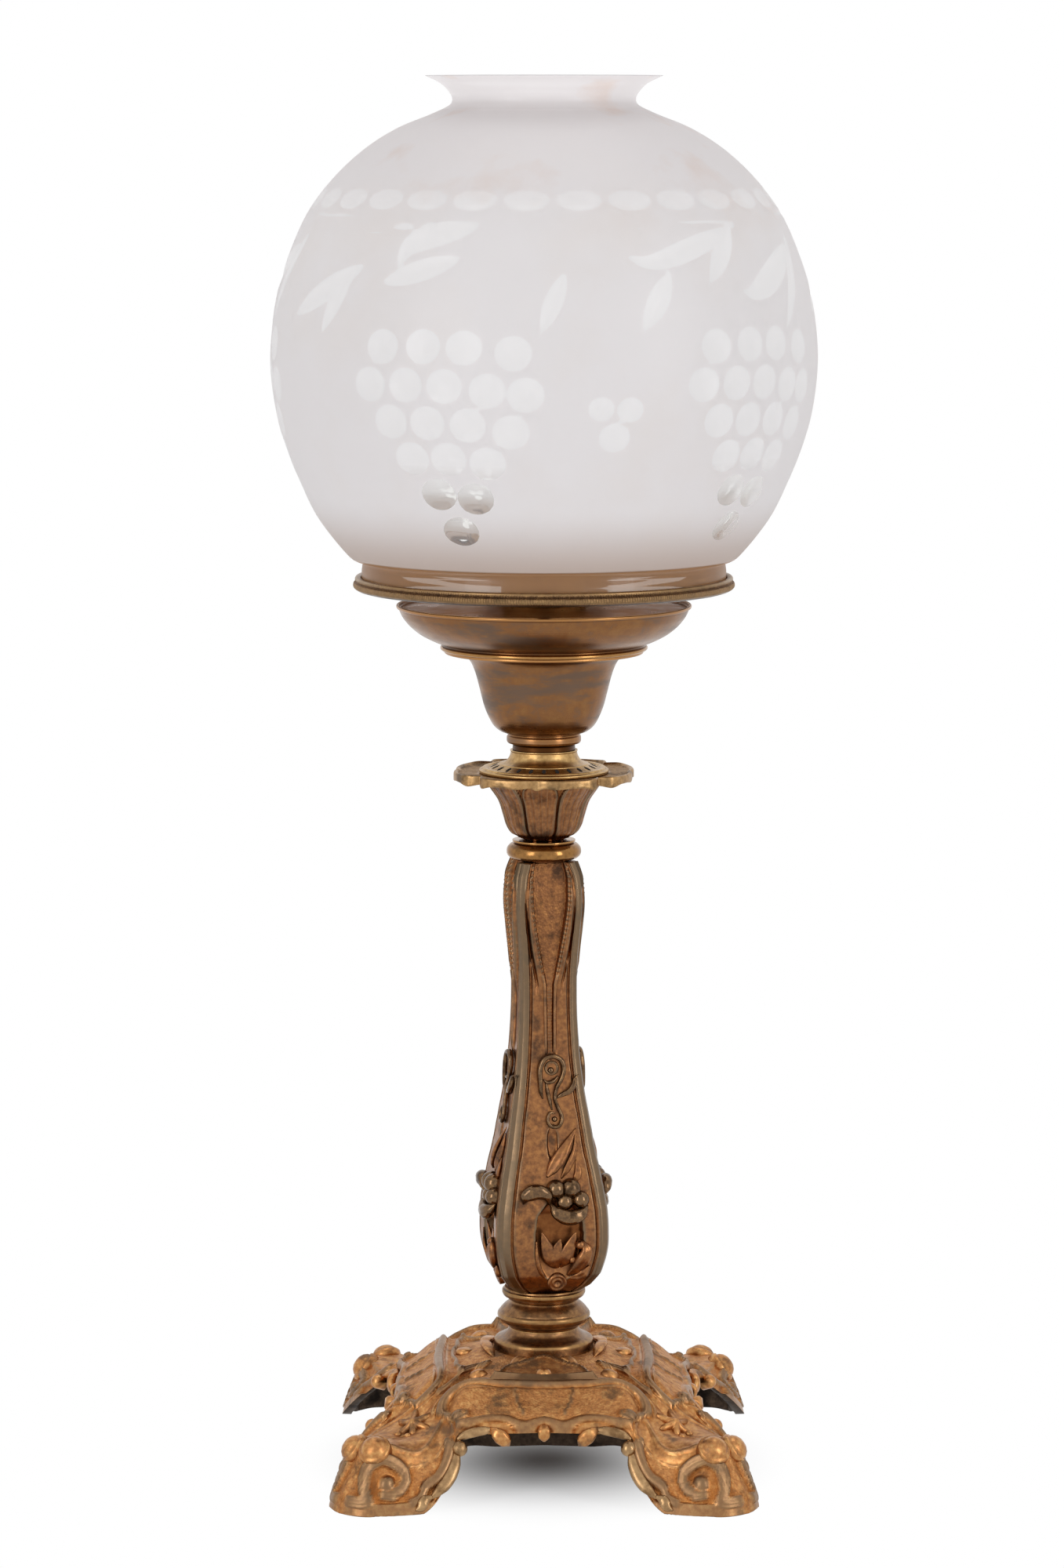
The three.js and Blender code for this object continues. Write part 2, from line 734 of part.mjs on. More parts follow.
function stem() {
  const outer = stem_shares.map(stemRing);
  const inner = [];
  for (let i = stem_shares.length - 1; i > 0; i -= stem_inner_every) {
    inner.push(i);
  }
  inner.push(0);
  const bore = inner.map((i) => {
    const { face, height, depth } = stemStation(stem_shares[i]);
    return circleRing(outer[i], face - depth - stem_wall, height);
  });
  const ornament = stemOrnament().flatMap((shape) => around(shape, 4));
  return joined(loft([...outer, ...bore]), ornament);
}

// The leaf cup has eight lobes outside and a round hollow inside.
function capitalCup() {
  const outline = scaled(cup_shares, cup_radius, cup_height, cup_bottom);
  const lobed = ([radius, height], lift) => Array.from({ length: cup_sides }, (unused, i) => {
    const angle = (Math.PI * 2 * i) / cup_sides;
    const reach = radius - lift * Math.cos(angle * cup_lobe_count * half) ** 2;
    return [reach * Math.cos(angle), reach * Math.sin(angle), height];
  });
  const last = outline.length - 1;
  const outer = outline.map((point, i) => lobed(point, i > 1 && i < last ? cup_lobe_height : 0));
  const wall = insetOutline(outline, cup_wall + cup_lobe_height);
  const inner = wall.filter((point, i) => i % cup_inner_every === 0 || i === last);
  return loft([...outer, ...inner.reverse().map((point) => lobed(point, 0))]);
}

// A ring that follows the plate's four ears at a share of their reach.
function earRing(reach, height) {
  const eighth = ear_edge_shares.map(([degrees, across]) => (
    [THREE.MathUtils.degToRad(degrees), across * plate_radius * reach]));
  const mirrored = eighth.slice(1, -1).reverse();
  const quarter = [...eighth, ...mirrored.map(([angle, radius]) => [Math.PI * half - angle, radius])];
  return quarter_turns.flatMap((unused, turn) => quarter.map(([angle, radius]) => {
    const place = angle + turn * Math.PI * half;
    return [radius * Math.cos(place), radius * Math.sin(place), height];
  }));
}

function capitalPlate() {
  const top = plate_bottom + plate_thickness;
  const rim = top + ear_rise;
  const edge = plate_bottom - ear_drop;
  const like = earRing(1, top);
  return loft([
    circleRing(like, plate_bore, top), circleRing(like, dish_radius, top),
    earRing(ear_foot_share, top + ear_rise * ear_lift_share), earRing(ear_crest_share, rim),
    earRing(1, rim - ear_rise * ear_lift_share), earRing(1, edge),
    earRing(ear_under_share, plate_bottom), circleRing(like, plate_bore, plate_bottom),
  ]);
}

function airDish() {
  const z = (up) => dish_bottom + up;
  const ledge = dish_radius - dish_step;
  const plain = turned([
    [rod_bore, z(0)], [dish_radius, z(0)], [dish_radius, z(dish_height - dish_step)],
    [ledge, z(dish_height - dish_step)], [ledge - dish_step * half, z(dish_height)],
    [ledge - dish_step, z(dish_height)], [dish_well_radius, z(dish_floor)], [rod_bore, z(dish_floor)],
  ], medium_sides);
  const middle = dish_bottom + dish_floor * half;
  const slot = new THREE.BoxGeometry(air_slot_length, air_slot_width, dish_floor + cut_overrun);
  slot.translate(cone_radius + side_gap + air_slot_length * half + seat_gap, 0, middle);
  const [low, high] = [dish_bottom - cut_overrun, z(dish_floor) + cut_overrun];
  const port = tube(air_port_radius, 0, low, high, screw_sides);
  port.translate(air_port_distance, 0, 0);
  return cut(plain, [...around(slot, air_slot_count), ...around(port, air_port_count)]);
}

function airCone() {
  const neck = cone_bore + cone_wall;
  const outer = blended(cone_shares, neck, cone_radius, cone_height, cone_bottom);
  const inner = insetOutline(outer, cone_wall);
  const top = cone_bottom + cone_height;
  const thread = top - font_thread_length;
  const flare = inner.filter(([radius, height]) => radius > cone_bore + side_gap && height < thread);
  return turned([...outer, [cone_bore, top], [cone_bore, thread], ...flare.reverse()], small_sides);
}

// The font stands on a turned collar that screws into the air cone.
function fontCollar() {
  const z = (share) => font_collar_bottom + font_collar_height * share;
  const bore = draft_radius + side_gap;
  const thread = font_collar_bottom - font_thread_length;
  const [groove, radius] = [font_collar_groove, font_collar_radius];
  const profile = blended(collar_shares, groove, radius, font_collar_height, font_collar_bottom);
  return turned([
    [bore, thread], [font_thread_radius, thread], [font_thread_radius, z(0)], ...profile, [bore, z(1)],
  ], small_sides);
}

function fontBell() {
  const lower = scaled(bell_shares, bell_waist, bell_height, bell_bottom);
  const inner = insetOutline(lower, font_wall);
  const top = bell_bottom + bell_height;
  const floor = bell_bottom + font_wall;
  const bore = draft_radius + side_gap;
  return turned([
    [bore, bell_bottom], ...lower, [bell_flange_radius, top - font_wall], [bell_flange_radius, top],
    [bell_waist - font_wall, top], ...thinned(inner.slice(1)).reverse(),
    [radiusAt(inner, floor), floor], [bore, floor],
  ], medium_sides);
}

function bowlOutline() {
  return blended(bowl_shares, font_lip_radius - font_lip_step, bowl_radius, bowl_height, bowl_bottom);
}

function bowlInner() {
  return thinned(insetOutline(bowlOutline(), font_wall).slice(1));
}

function fontBowl() {
  const side = bowlOutline();
  const lip = font_lip_radius;
  const inside = lip - font_lip_height;
  return turned([
    [font_seat_radius, bowl_bottom], [lip - font_lip_step, bowl_bottom],
    [lip, bowl_bottom + font_lip_step * half], [lip, bowl_bottom + font_lip_height - font_lip_step],
    ...side, ...bowlInner().reverse(), [inside, bowl_bottom + font_wall],
    [font_seat_radius, bowl_bottom + font_wall],
  ], large_sides);
}

// Height of the font cover's upper side at a distance from the axis.
function coverHeight(distance) {
  return cover_edge + (cover_rise * (cover_radius - distance)) / (cover_radius - cover_hole);
}

function fontCover() {
  const plain = turned([
    [cover_hole, cover_top - cover_thickness], [cover_radius, cover_edge - cover_thickness],
    [cover_radius, cover_edge], [cover_hole, cover_top],
  ], large_sides);
  const neckTop = fillerNeckTop();
  const neckBottom = coverHeight(filler_distance) - cover_thickness;
  const neck = tube(filler_neck_radius, 0, neckBottom, neckTop, tiny_sides);
  const bore = filler_neck_radius - filler_wall;
  const hole = tube(bore, 0, neckBottom - cut_overrun, neckTop + cut_overrun, tiny_sides);
  return cut(joined(plain, [toFiller(neck)]), [toFiller(hole)]);
}

function fillerNeckTop() {
  return coverHeight(filler_distance) + filler_neck_height;
}

function toFiller(shape) {
  return shape.translate(filler_distance, 0, 0).rotateZ(THREE.MathUtils.degToRad(filler_angle));
}

// A cap whose skirt goes over the neck and stands on the cover.
function fillerCap() {
  const low = coverHeight(filler_distance - filler_cap_radius) + seat_gap;
  const inside = fillerNeckTop() + filler_cap_room;
  const top = inside + filler_cap_top;
  const bore = filler_neck_radius + side_gap;
  return toFiller(turned([
    [0, inside], [bore, inside], [bore, low], [filler_cap_radius, low], [filler_cap_radius, top],
    [0, top],
  ], tiny_sides));
}

// A tube, or a rod where the inner radius is zero.
function tube(radius, inner, bottom, top, sides) {
  return turned([[inner, bottom], [radius, bottom], [radius, top], [inner, top]], sides);
}

function burnerCollar() {
  const skirt = collar_bore + collar_skirt_wall;
  const bottom = collar_flange_bottom - collar_skirt_depth;
  const top = collar_flange_bottom + collar_flange_height;
  return turned([
    [collar_bore, bottom], [skirt, bottom], [skirt, collar_flange_bottom],
    [collar_flange_radius, collar_flange_bottom], [collar_flange_radius, top], [collar_bore, top],
  ], small_sides);
}

// The outer wick tube, notched at its foot to let the oil in.
function burnerTube() {
  const inner = burner_tube_radius - burner_tube_wall;
  const plain = tube(burner_tube_radius, inner, burner_bottom, burner_top, small_sides);
  const span = burner_tube_radius * 2 + cut_overrun;
  const notch = new THREE.BoxGeometry(span, feed_notch_width, feed_notch_height * 2);
  notch.translate(0, 0, burner_bottom);
  return cut(plain, [notch, notch.clone().rotateZ(Math.PI * half)]);
}

// A square bar wound as a screw, which cuts the groove that lifts the wick.
function grooveCutter(from, to) {
  const turns = (to - from) / groove_pitch;
  const steps = Math.ceil(turns * groove_steps);
  const inner = draft_radius - groove_depth;
  const outer = draft_radius + cut_overrun * half;
  const corners = [[inner, -half], [outer, -half], [outer, half], [inner, half]];
  const points = [];
  const index = [0, 1, 2, 0, 2, 3];
  for (let i = 0; i <= steps; i++) {
    const height = from + ((to - from) * i) / steps;
    const angle = peg_angle + (Math.PI * 2 * (height - peg_height)) / groove_pitch;
    for (const [radius, side] of corners) {
      points.push(radius * Math.cos(angle), radius * Math.sin(angle), height + side * groove_width);
    }
    for (let c = 0; c < corners.length && i < steps; c++) {
      const first = i * corners.length;
      const [a, b] = [first + c, first + ((c + 1) % corners.length)];
      index.push(a, a + corners.length, b, b, a + corners.length, b + corners.length);
    }
  }
  const end = steps * corners.length;
  index.push(end, end + 2, end + 1, end, end + 3, end + 2);
  const geometry = new THREE.BufferGeometry();
  geometry.setAttribute("position", new THREE.Float32BufferAttribute(points, 3));
  geometry.setIndex(index);
  return outward(geometry);
}

// The central air tube, with the screw groove cut round it.
function draftTube() {
  const inner = draft_radius - draft_wall;
  const plain = tube(draft_radius, inner, font_collar_bottom, burner_top - draft_drop, small_sides);
  const low = peg_height - wick_fall - groove_margin;
  const groove = grooveCutter(low, peg_height + wick_rise + groove_margin);
  return cut(plain, [groove]);
}

// The slotted tube that turns with the ring and carries the wick round the screw.
function wickDriver() {
  const low = peg_height - wick_fall - driver_slot_margin;
  const high = peg_height + wick_rise + driver_slot_margin;
  const bottom = low - driver_foot_height;
  const flange = burner_top + side_gap;
  const plain = turned([
    [driver_inner, bottom], [driver_outer, bottom], [driver_outer, flange],
    [driver_flange_radius, flange], [driver_flange_radius, driver_top], [driver_inner, driver_top],
  ], small_sides);
  const slot = new THREE.BoxGeometry(driver_outer, driver_slot_width, high - low);
  slot.translate(driver_outer, 0, (low + high) * half).rotateZ(peg_angle);
  return cut(plain, [slot]);
}

// The ring that grips the wick, with one peg through it for the groove and the slot.
function wickCarrier() {
  const bottom = carrier_top - carrier_height;
  const plain = tube(carrier_outer, carrier_inner, bottom, carrier_top, small_sides);
  const inner = draft_radius - groove_depth + side_gap;
  const outer = driver_outer - seat_gap;
  const peg = new THREE.CylinderGeometry(peg_radius, peg_radius, outer - inner, tiny_sides);
  peg.rotateZ(Math.PI * half).translate((outer + inner) * half, 0, peg_height).rotateZ(peg_angle);
  return joined(plain, [peg]);
}

function wick() {
  const [outer, inner] = [carrier_outer - seat_gap, carrier_inner + seat_gap];
  return tube(outer, inner, carrier_top + seat_gap, wick_top, small_sides);
}

// Four arms carry the shade ring from a hub that stands on the driver's flange.
function ringSpider() {
  const ledge = hub_top - hub_flange_height;
  const hub = turned([
    [hub_inner, hub_bottom], [hub_outer, hub_bottom], [hub_outer, hub_top],
    [driver_outer, hub_top], [driver_outer, ledge], [hub_inner, ledge],
  ], small_sides);
  const root = hub_inner + hub_wall * half;
  const arm = new THREE.BoxGeometry(arm_reach - root, arm_width, arm_thickness);
  arm.translate((arm_reach + root) * half, 0, arm_bottom + arm_thickness * half);
  const end = new THREE.BoxGeometry(arm_thickness, arm_width, arm_end_height);
  end.translate(arm_reach - arm_thickness * half, 0, arm_bottom + arm_end_height * half);
  const hole = tube(screw_hole_radius, 0, arm_bottom - cut_overrun, arm_top + cut_overrun, tiny_sides);
  hole.translate(screw_distance, 0, 0);
  const arms = [...around(arm, arm_count), ...around(end, arm_count)];
  return cut(joined(hub, arms), around(hole, arm_count));
}

function shadeRing() {
  const outer = blended(ring_shares, ring_shelf_radius, ring_radius, ring_height, ring_bottom);
  const shelf = ring_bottom + ring_shelf_thickness;
  const plain = turned([
    ...outer, [ring_inner, ring_bottom + ring_height], [ring_inner, shelf], [ring_shelf_radius, shelf],
  ], large_sides);
  const hole = tube(screw_hole_radius, 0, ring_bottom - cut_overrun, shelf + cut_overrun, tiny_sides);
  hole.translate(screw_distance, 0, 0);
  return cut(plain, around(hole, arm_count));
}

function armScrew(i) {
  const head = arm_top + seat_gap;
  const top = head + screw_head_height;
  const shape = turned([
    [0, ring_bottom], [screw_radius, ring_bottom], [screw_radius, head],
    [screw_head_radius, head], [screw_head_radius, top], [0, top],
  ], screw_sides);
  return shape.translate(screw_distance, 0, 0).rotateZ((Math.PI * 2 * i) / arm_count);
}

// The gallery round the cap, split into springy fingers for the chimney's foot.
function chimneyGallery() {
  const floor = gallery_bottom + gallery_wall;
  const top = gallery_bottom + gallery_height;
  const bend = gallery_bottom + gallery_base_height;
  const plain = turned([
    [hub_outer + side_gap, gallery_bottom], [gallery_radius, gallery_bottom], [gallery_radius, bend],
    [gallery_radius + gallery_splay, top], [gallery_radius + gallery_splay - gallery_wall, top],
    [gallery_radius - gallery_wall, bend], [gallery_radius - gallery_wall, floor],
    [hub_outer + side_gap, floor],
  ], medium_sides);
  const gap = new THREE.BoxGeometry(gallery_radius, gallery_gap_width, gallery_height);
  gap.translate(gallery_radius, 0, bend + gallery_height * half);
  return cut(plain, around(gap, gallery_finger_count, Math.PI / gallery_finger_count));
}

// The solar cap: a dome with a round hole that draws the flame in.
function solarCap() {
  const outline = blended(cap_shares, cap_hole, cap_radius, cap_height, cap_bottom);
  const inner = insetOutline(outline, cap_wall);
  inner[inner.length - 1] = [cap_hole, cap_bottom + cap_height - cap_wall];
  return turned([...outline, ...inner.reverse()], small_sides);
}

function globeOutline() {
  const widest = glass_bottom + fitter_height + globe_lower_height;
  const neck = widest + globe_upper_height;
  const fitterTop = glass_bottom + fitter_height;
  return [
    [fitter_radius, glass_bottom],
    ...blended(globe_lower_shares, fitter_radius, globe_radius, globe_lower_height, fitterTop),
    ...blended(globe_upper_shares, globe_neck_radius, globe_radius, globe_upper_height, widest),
    ...blended(globe_rim_shares, globe_neck_radius, globe_rim_radius, globe_rim_height, neck),
  ];
}

function glassShade() {
  const outer = globeOutline();
  const inset = insetOutline(outer, glass_wall);
  return turned([...outer, ...thinned(inset).reverse()], large_sides);
}

function tieRod() {
  return tube(rod_radius, 0, rod_bottom, rod_top, tiny_sides);
}

function baseWasher() {
  const bottom = nut_top + seat_gap;
  return tube(washer_radius, rod_bore, bottom, bottom + washer_thickness, small_sides);
}

function nut(bottom) {
  const top = bottom + nut_height;
  const thread = tube(rod_bore, 0, bottom - cut_overrun, top + cut_overrun, tiny_sides);
  return cut(tube(nut_radius, 0, bottom, top, nut_corners), [thread]);
}

// Finishes.
const gilt = new THREE.MeshStandardMaterial({ color: 0xa8692f, roughness: 0.42, metalness: 0.9 });
const oldBrass = new THREE.MeshStandardMaterial({ color: 0x8f6f3e, roughness: 0.35, metalness: 0.95 });
const brightGilt = new THREE.MeshStandardMaterial({ color: 0xc98a3d, roughness: 0.2, metalness: 1 });
const burnerBrass = new THREE.MeshStandardMaterial({ color: 0x9b7a45, roughness: 0.4, metalness: 0.95 });
const iron = new THREE.MeshStandardMaterial({ color: 0x4a4642, roughness: 0.55, metalness: 0.9 });
const cotton = new THREE.MeshStandardMaterial({ color: 0xd9cfb8, roughness: 0.95, metalness: 0 });
const frosted = new THREE.MeshStandardMaterial({
  color: 0xe4e1da, roughness: 0.6, metalness: 0, transparent: true, opacity: 0.85,
});

const lamp = new THREE.Group();

function place(name, geometry, material, yaw = 0) {
  const mesh = new THREE.Mesh(geometry, material);
  mesh.name = name;
  mesh.rotation.z = THREE.MathUtils.degToRad(yaw);
  lamp.add(mesh);
}

place("base_casting", baseCasting(), gilt);
place("foot_collar", footCollar(), gilt);
place("knop", knop(), gilt);
place("stem_flange", stemFlange(), gilt);
place("stem", stem(), gilt, stem_yaw);
place("torus_ring", torusRing(), brightGilt);
place("capital_cup", capitalCup(), gilt, plate_yaw);
place("capital_plate", capitalPlate(), gilt, plate_yaw);
place("air_dish", airDish(), oldBrass);
place("air_cone", airCone(), oldBrass);
place("font_collar", fontCollar(), oldBrass);
place("font_bell", fontBell(), gilt);
place("font_bowl", fontBowl(), gilt);
place("font_cover", fontCover(), oldBrass);
place("filler_cap", fillerCap(), oldBrass);
place("burner_collar", burnerCollar(), burnerBrass);
place("burner_tube", burnerTube(), burnerBrass);
place("draft_tube", draftTube(), burnerBrass);
place("wick_driver", wickDriver(), burnerBrass);
place("wick_carrier", wickCarrier(), burnerBrass);
place("wick", wick(), cotton);
place("ring_spider", ringSpider(), burnerBrass);
place("shade_ring", shadeRing(), oldBrass);
for (let i = 0; i < arm_count; i++) {
  place(`arm_screw_${i + 1}`, armScrew(i), burnerBrass);
}
place("chimney_gallery", chimneyGallery(), burnerBrass);
place("solar_cap", solarCap(), burnerBrass);
place("glass_shade", glassShade(), frosted);
place("tie_rod", tieRod(), iron);
place("base_washer", baseWasher(), iron);
place("base_nut", nut(rod_bottom + rod_end), iron);
place("rod_nut", nut(upper_nut_bottom), iron);

export default lamp;
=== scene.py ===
# A solar lamp of about 1850: a cut glass globe on a turning brass ring, an urn-shaped oil font,
# a gilt cast stem and a scrolled base on four feet.
# Sizes are millimetres and each mesh is written in metres. The lamp's front looks along -Y.

import bmesh
import bpy
import numpy as np
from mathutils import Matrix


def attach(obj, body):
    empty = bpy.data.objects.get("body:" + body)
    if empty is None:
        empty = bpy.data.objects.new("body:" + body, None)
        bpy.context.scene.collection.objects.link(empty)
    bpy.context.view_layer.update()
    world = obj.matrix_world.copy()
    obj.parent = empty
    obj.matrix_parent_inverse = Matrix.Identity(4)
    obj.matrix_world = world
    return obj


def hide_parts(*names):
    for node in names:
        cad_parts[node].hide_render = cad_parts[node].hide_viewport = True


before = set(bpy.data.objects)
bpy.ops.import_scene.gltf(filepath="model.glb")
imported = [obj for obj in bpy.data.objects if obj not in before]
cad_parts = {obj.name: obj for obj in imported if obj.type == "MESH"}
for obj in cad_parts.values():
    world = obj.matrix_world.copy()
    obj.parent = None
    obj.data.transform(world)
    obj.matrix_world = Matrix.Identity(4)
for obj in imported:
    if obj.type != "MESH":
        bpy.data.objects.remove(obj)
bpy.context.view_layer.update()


# Studio
# A pale paper floor in a white room. Two upright soft boxes stand in front of the lamp, one
# on each side, and a third hangs above it.

def linear(colour):
    """An sRGB colour such as "#a86a30" as linear light: a share up to 0.04045 is divided by
    12.92, and any other has 0.055 added, is divided by 1.055 and raised to the power 2.4."""
    share = np.array([int(colour[i:i + 2], 16) for i in (1, 3, 5)]) / 255
    light = np.where(share <= 0.04045, share / 12.92, ((share + 0.055) / 1.055) ** 2.4)
    return (*light.tolist(), 1.0)


def add(tree, kind, inputs=None, **settings):
    """Adds one node with its settings, and fills its sockets with values or with links."""
    made = tree.nodes.new(kind)
    for key, value in settings.items():
        setattr(made, key, value)
    for key, value in (inputs or {}).items():
        if isinstance(value, bpy.types.NodeSocket):
            tree.links.new(value, made.inputs[key])
        else:
            made.inputs[key].default_value = value
    return made


def new_material(name):
    """An empty node material and its tree."""
    made = bpy.data.materials.new(name)
    made.use_nodes = True
    made.node_tree.nodes.clear()
    return made, made.node_tree


def seen_directly(tree):
    """1 for rays from the camera, from a reflection or through glass, and 0 for light."""
    path = add(tree, "ShaderNodeLightPath")
    glossy = add(tree, "ShaderNodeMath", {0: path.outputs["Is Camera Ray"],
                                          1: path.outputs["Is Glossy Ray"]}, operation="MAXIMUM")
    return add(tree, "ShaderNodeMath", {0: glossy.outputs[0],
                                        1: path.outputs["Is Transmission Ray"]},
               operation="MAXIMUM").outputs[0]


floor_half = 4000
floor_near = 0                  # the paper shows as it is up to here
floor_far = 120                 # and has faded into the white room from here
room_light = 0.62

room = bpy.data.worlds.new("white_room")
bpy.context.scene.world = room
room.use_nodes = True
room.node_tree.nodes.clear()
room_strength = add(room.node_tree, "ShaderNodeMapRange",
                    {"Value": seen_directly(room.node_tree), "To Min": room_light, "To Max": 1.0})
room_glow = add(room.node_tree, "ShaderNodeBackground",
                {"Color": linear("#ffffff"), "Strength": room_strength.outputs[0]})
add(room.node_tree, "ShaderNodeOutputWorld", {"Surface": room_glow.outputs[0]})

paper, paper_tree = new_material("matt_white_paper")
paper_place = add(paper_tree, "ShaderNodeTexCoord").outputs["Object"]
paper_reach = add(paper_tree, "ShaderNodeVectorMath", {0: paper_place}, operation="LENGTH")
paper_fade = add(paper_tree, "ShaderNodeMapRange", {
    "Value": paper_reach.outputs["Value"], "From Min": floor_near / 1000,
    "From Max": floor_far / 1000}, interpolation_type="SMOOTHSTEP")
paper_share = add(paper_tree, "ShaderNodeMath", {
    0: paper_fade.outputs[0], 1: seen_directly(paper_tree)}, operation="MULTIPLY")
paper_matt = add(paper_tree, "ShaderNodeBsdfDiffuse", {"Color": linear("#f4f4f6")})
paper_white = add(paper_tree, "ShaderNodeEmission", {"Color": linear("#ffffff"), "Strength": 1.0})
paper_mix = add(paper_tree, "ShaderNodeMixShader", {
    0: paper_share.outputs[0], 1: paper_matt.outputs[0], 2: paper_white.outputs[0]})
add(paper_tree, "ShaderNodeOutputMaterial", {"Surface": paper_mix.outputs[0]})

floor_mesh = bpy.data.meshes.new("paper_floor")
floor_corners = np.array([[-1, -1, 0], [1, -1, 0], [1, 1, 0], [-1, 1, 0]]) * floor_half / 1000
floor_mesh.from_pydata(floor_corners.tolist(), [], [(0, 1, 2, 3)])
floor_mesh.materials.append(paper)
floor = bpy.data.objects.new("paper_floor", floor_mesh)
bpy.context.scene.collection.objects.link(floor)


def soft_box(name, place, aim, width, height, power):
    """A rectangular lamp at a place, turned to face a point, both in metres."""
    data = bpy.data.lights.new(name, "AREA")
    data.shape = "RECTANGLE"
    data.size = width
    data.size_y = height
    data.energy = power
    box = bpy.data.objects.new(name, data)
    box.location = place
    ahead = np.array(aim) - np.array(place)
    ahead = ahead / np.linalg.norm(ahead)
    box.rotation_euler = (np.arccos(-ahead[2]), 0, np.arctan2(-ahead[0], ahead[1]))
    bpy.context.scene.collection.objects.link(box)


soft_box("left_box", (-1.25, -1.42, 0.75), (0, 0, 0.3), 0.55, 1.4, 10)
soft_box("right_box", (1.4, -1.2, 0.72), (0, 0, 0.3), 0.5, 1.4, 9)
soft_box("top_box", (0.0, 0.25, 1.9), (0, 0, 0.3), 1.2, 0.9, 6)

# The photograph looks slightly down from the height of the globe's neck, 2.3 metres away.
camera_tilt = 7.57
camera_data = bpy.data.cameras.new("camera")
camera_data.lens = 117
camera_data.sensor_width = 36
camera_data.clip_end = 20
camera = bpy.data.objects.new("camera", camera_data)
camera.location = (-0.0055, -2.3385, 0.6319)
camera.rotation_euler = (np.radians(90 - camera_tilt), 0, 0)
bpy.context.scene.collection.objects.link(camera)
bpy.context.scene.camera = camera
bpy.context.scene.view_settings.view_transform = "Standard"


# Base casting
# The square base is one hollow casting of gilt bronze on four feet. Its scrolls, panels and
# punched ground were cast and chased, and hands have worn what stands proud to a dull brown.

def curve_through(points, at):
    """A smooth curve through rows of points: between two of them, the cubic whose slope at
    each end is half the step from its neighbour before to its neighbour after."""
    points = np.asarray(points, float)
    path = np.concatenate([[2 * points[0] - points[1]], points, [2 * points[-1] - points[-2]]])
    first = np.clip(at.astype(int), 0, len(points) - 2)
    part = (at - first).reshape((-1,) + (1,) * (points.ndim - 1))
    before, start, end, after = (path[first + i] for i in range(4))
    bend = 2 * before - 5 * start + 4 * end - after + part * (3 * (start - end) + after - before)
    return start + 0.5 * part * (end - before + part * bend)


def smooth_path(points, steps=40):
    """Evenly numbered points on a smooth curve through a few given ones."""
    return curve_through(points, np.linspace(0, len(points) - 1, steps))


def path_distance(x, y, path):
    """Distance from each point to a path of straight pieces, and how far along it the nearest
    place lies, from 0 to 1: for each piece, the foot of the perpendicular kept on the piece."""
    path = np.asarray(path, float)
    best = np.full(x.shape, 1e9)
    along = np.zeros(x.shape)
    steps = np.maximum(np.linalg.norm(np.diff(path, axis=0), axis=1), 1e-9)
    covered = np.concatenate([[0], np.cumsum(steps)]) / steps.sum()
    for i, step in enumerate(steps):
        dx, dy = path[i + 1] - path[i]
        foot = np.clip(((x - path[i, 0]) * dx + (y - path[i, 1]) * dy) / step ** 2, 0, 1)
        away = np.hypot(x - path[i, 0] - foot * dx, y - path[i, 1] - foot * dy)
        along = np.where(away < best, covered[i] + foot * (covered[i + 1] - covered[i]), along)
        best = np.minimum(best, away)
    return best, along


def inside_distance(x, y, corners):
    """Distance to an outline, positive inside it, by counting how often a level line to the
    right crosses the outline."""
    corners = np.asarray(corners, float)
    away, _ = path_distance(x, y, np.concatenate([corners, corners[:1]]))
    crossings = np.zeros(x.shape, int)
    for (x1, y1), (x2, y2) in zip(corners, np.roll(corners, -1, axis=0)):
        spans = (y1 > y) != (y2 > y)
        rise = y2 - y1 if y2 != y1 else 1e-9
        crossings += spans & (x < x1 + (y - y1) * (x2 - x1) / rise)
    return np.where(crossings % 2 == 1, away, -away)


def mirrored(points):
    """A smooth path and its mirror image across the line where x is zero, as one outline."""
    half = smooth_path(points)
    return np.concatenate([half, half[::-1] * [-1, 1]])


def ridge(away, half_width, height):
    """Half-round moulding: height times the root of one less the squared share across."""
    return height * np.sqrt(np.clip(1 - (away / half_width) ** 2, 0, None))


def ledge(inside, edge, height):
    """Flat step with a soft edge: a smooth rise from 0 to height over the edge's width."""
    part = np.clip(inside / edge + 0.5, 0, 1)
    return height * part * part * (3 - 2 * part)


def normals_of(grid):
    """Unit normals of a closed grid: the cross product of its slopes round and along."""
    along = np.gradient(grid, axis=0)
    round_ = np.roll(grid, -1, axis=1) - np.roll(grid, 1, axis=1)
    across = np.cross(round_, along)
    return across / np.maximum(np.linalg.norm(across, axis=-1, keepdims=True), 1e-9)


def spread(field, passes):
    """A field evened out: each pass takes the mean of a point and its four neighbours, with
    the columns closed round and the end rows repeated."""
    for _ in range(passes):
        tall = np.pad(field, ((1, 1), (0, 0)), mode="edge")
        sides = np.roll(field, 1, axis=1) + np.roll(field, -1, axis=1)
        field = (field * 2 + tall[:-2] + tall[2:] + sides) / 6
    return field


def wear_of(relief, passes, height):
    """Worn and sheltered shares of a surface: how far its relief stands above or lies below
    the evened-out relief, against a height that counts as fully so."""
    proud = (relief - spread(relief, passes)) / height
    return np.clip(proud, 0, 1), np.clip(-proud, 0, 1)


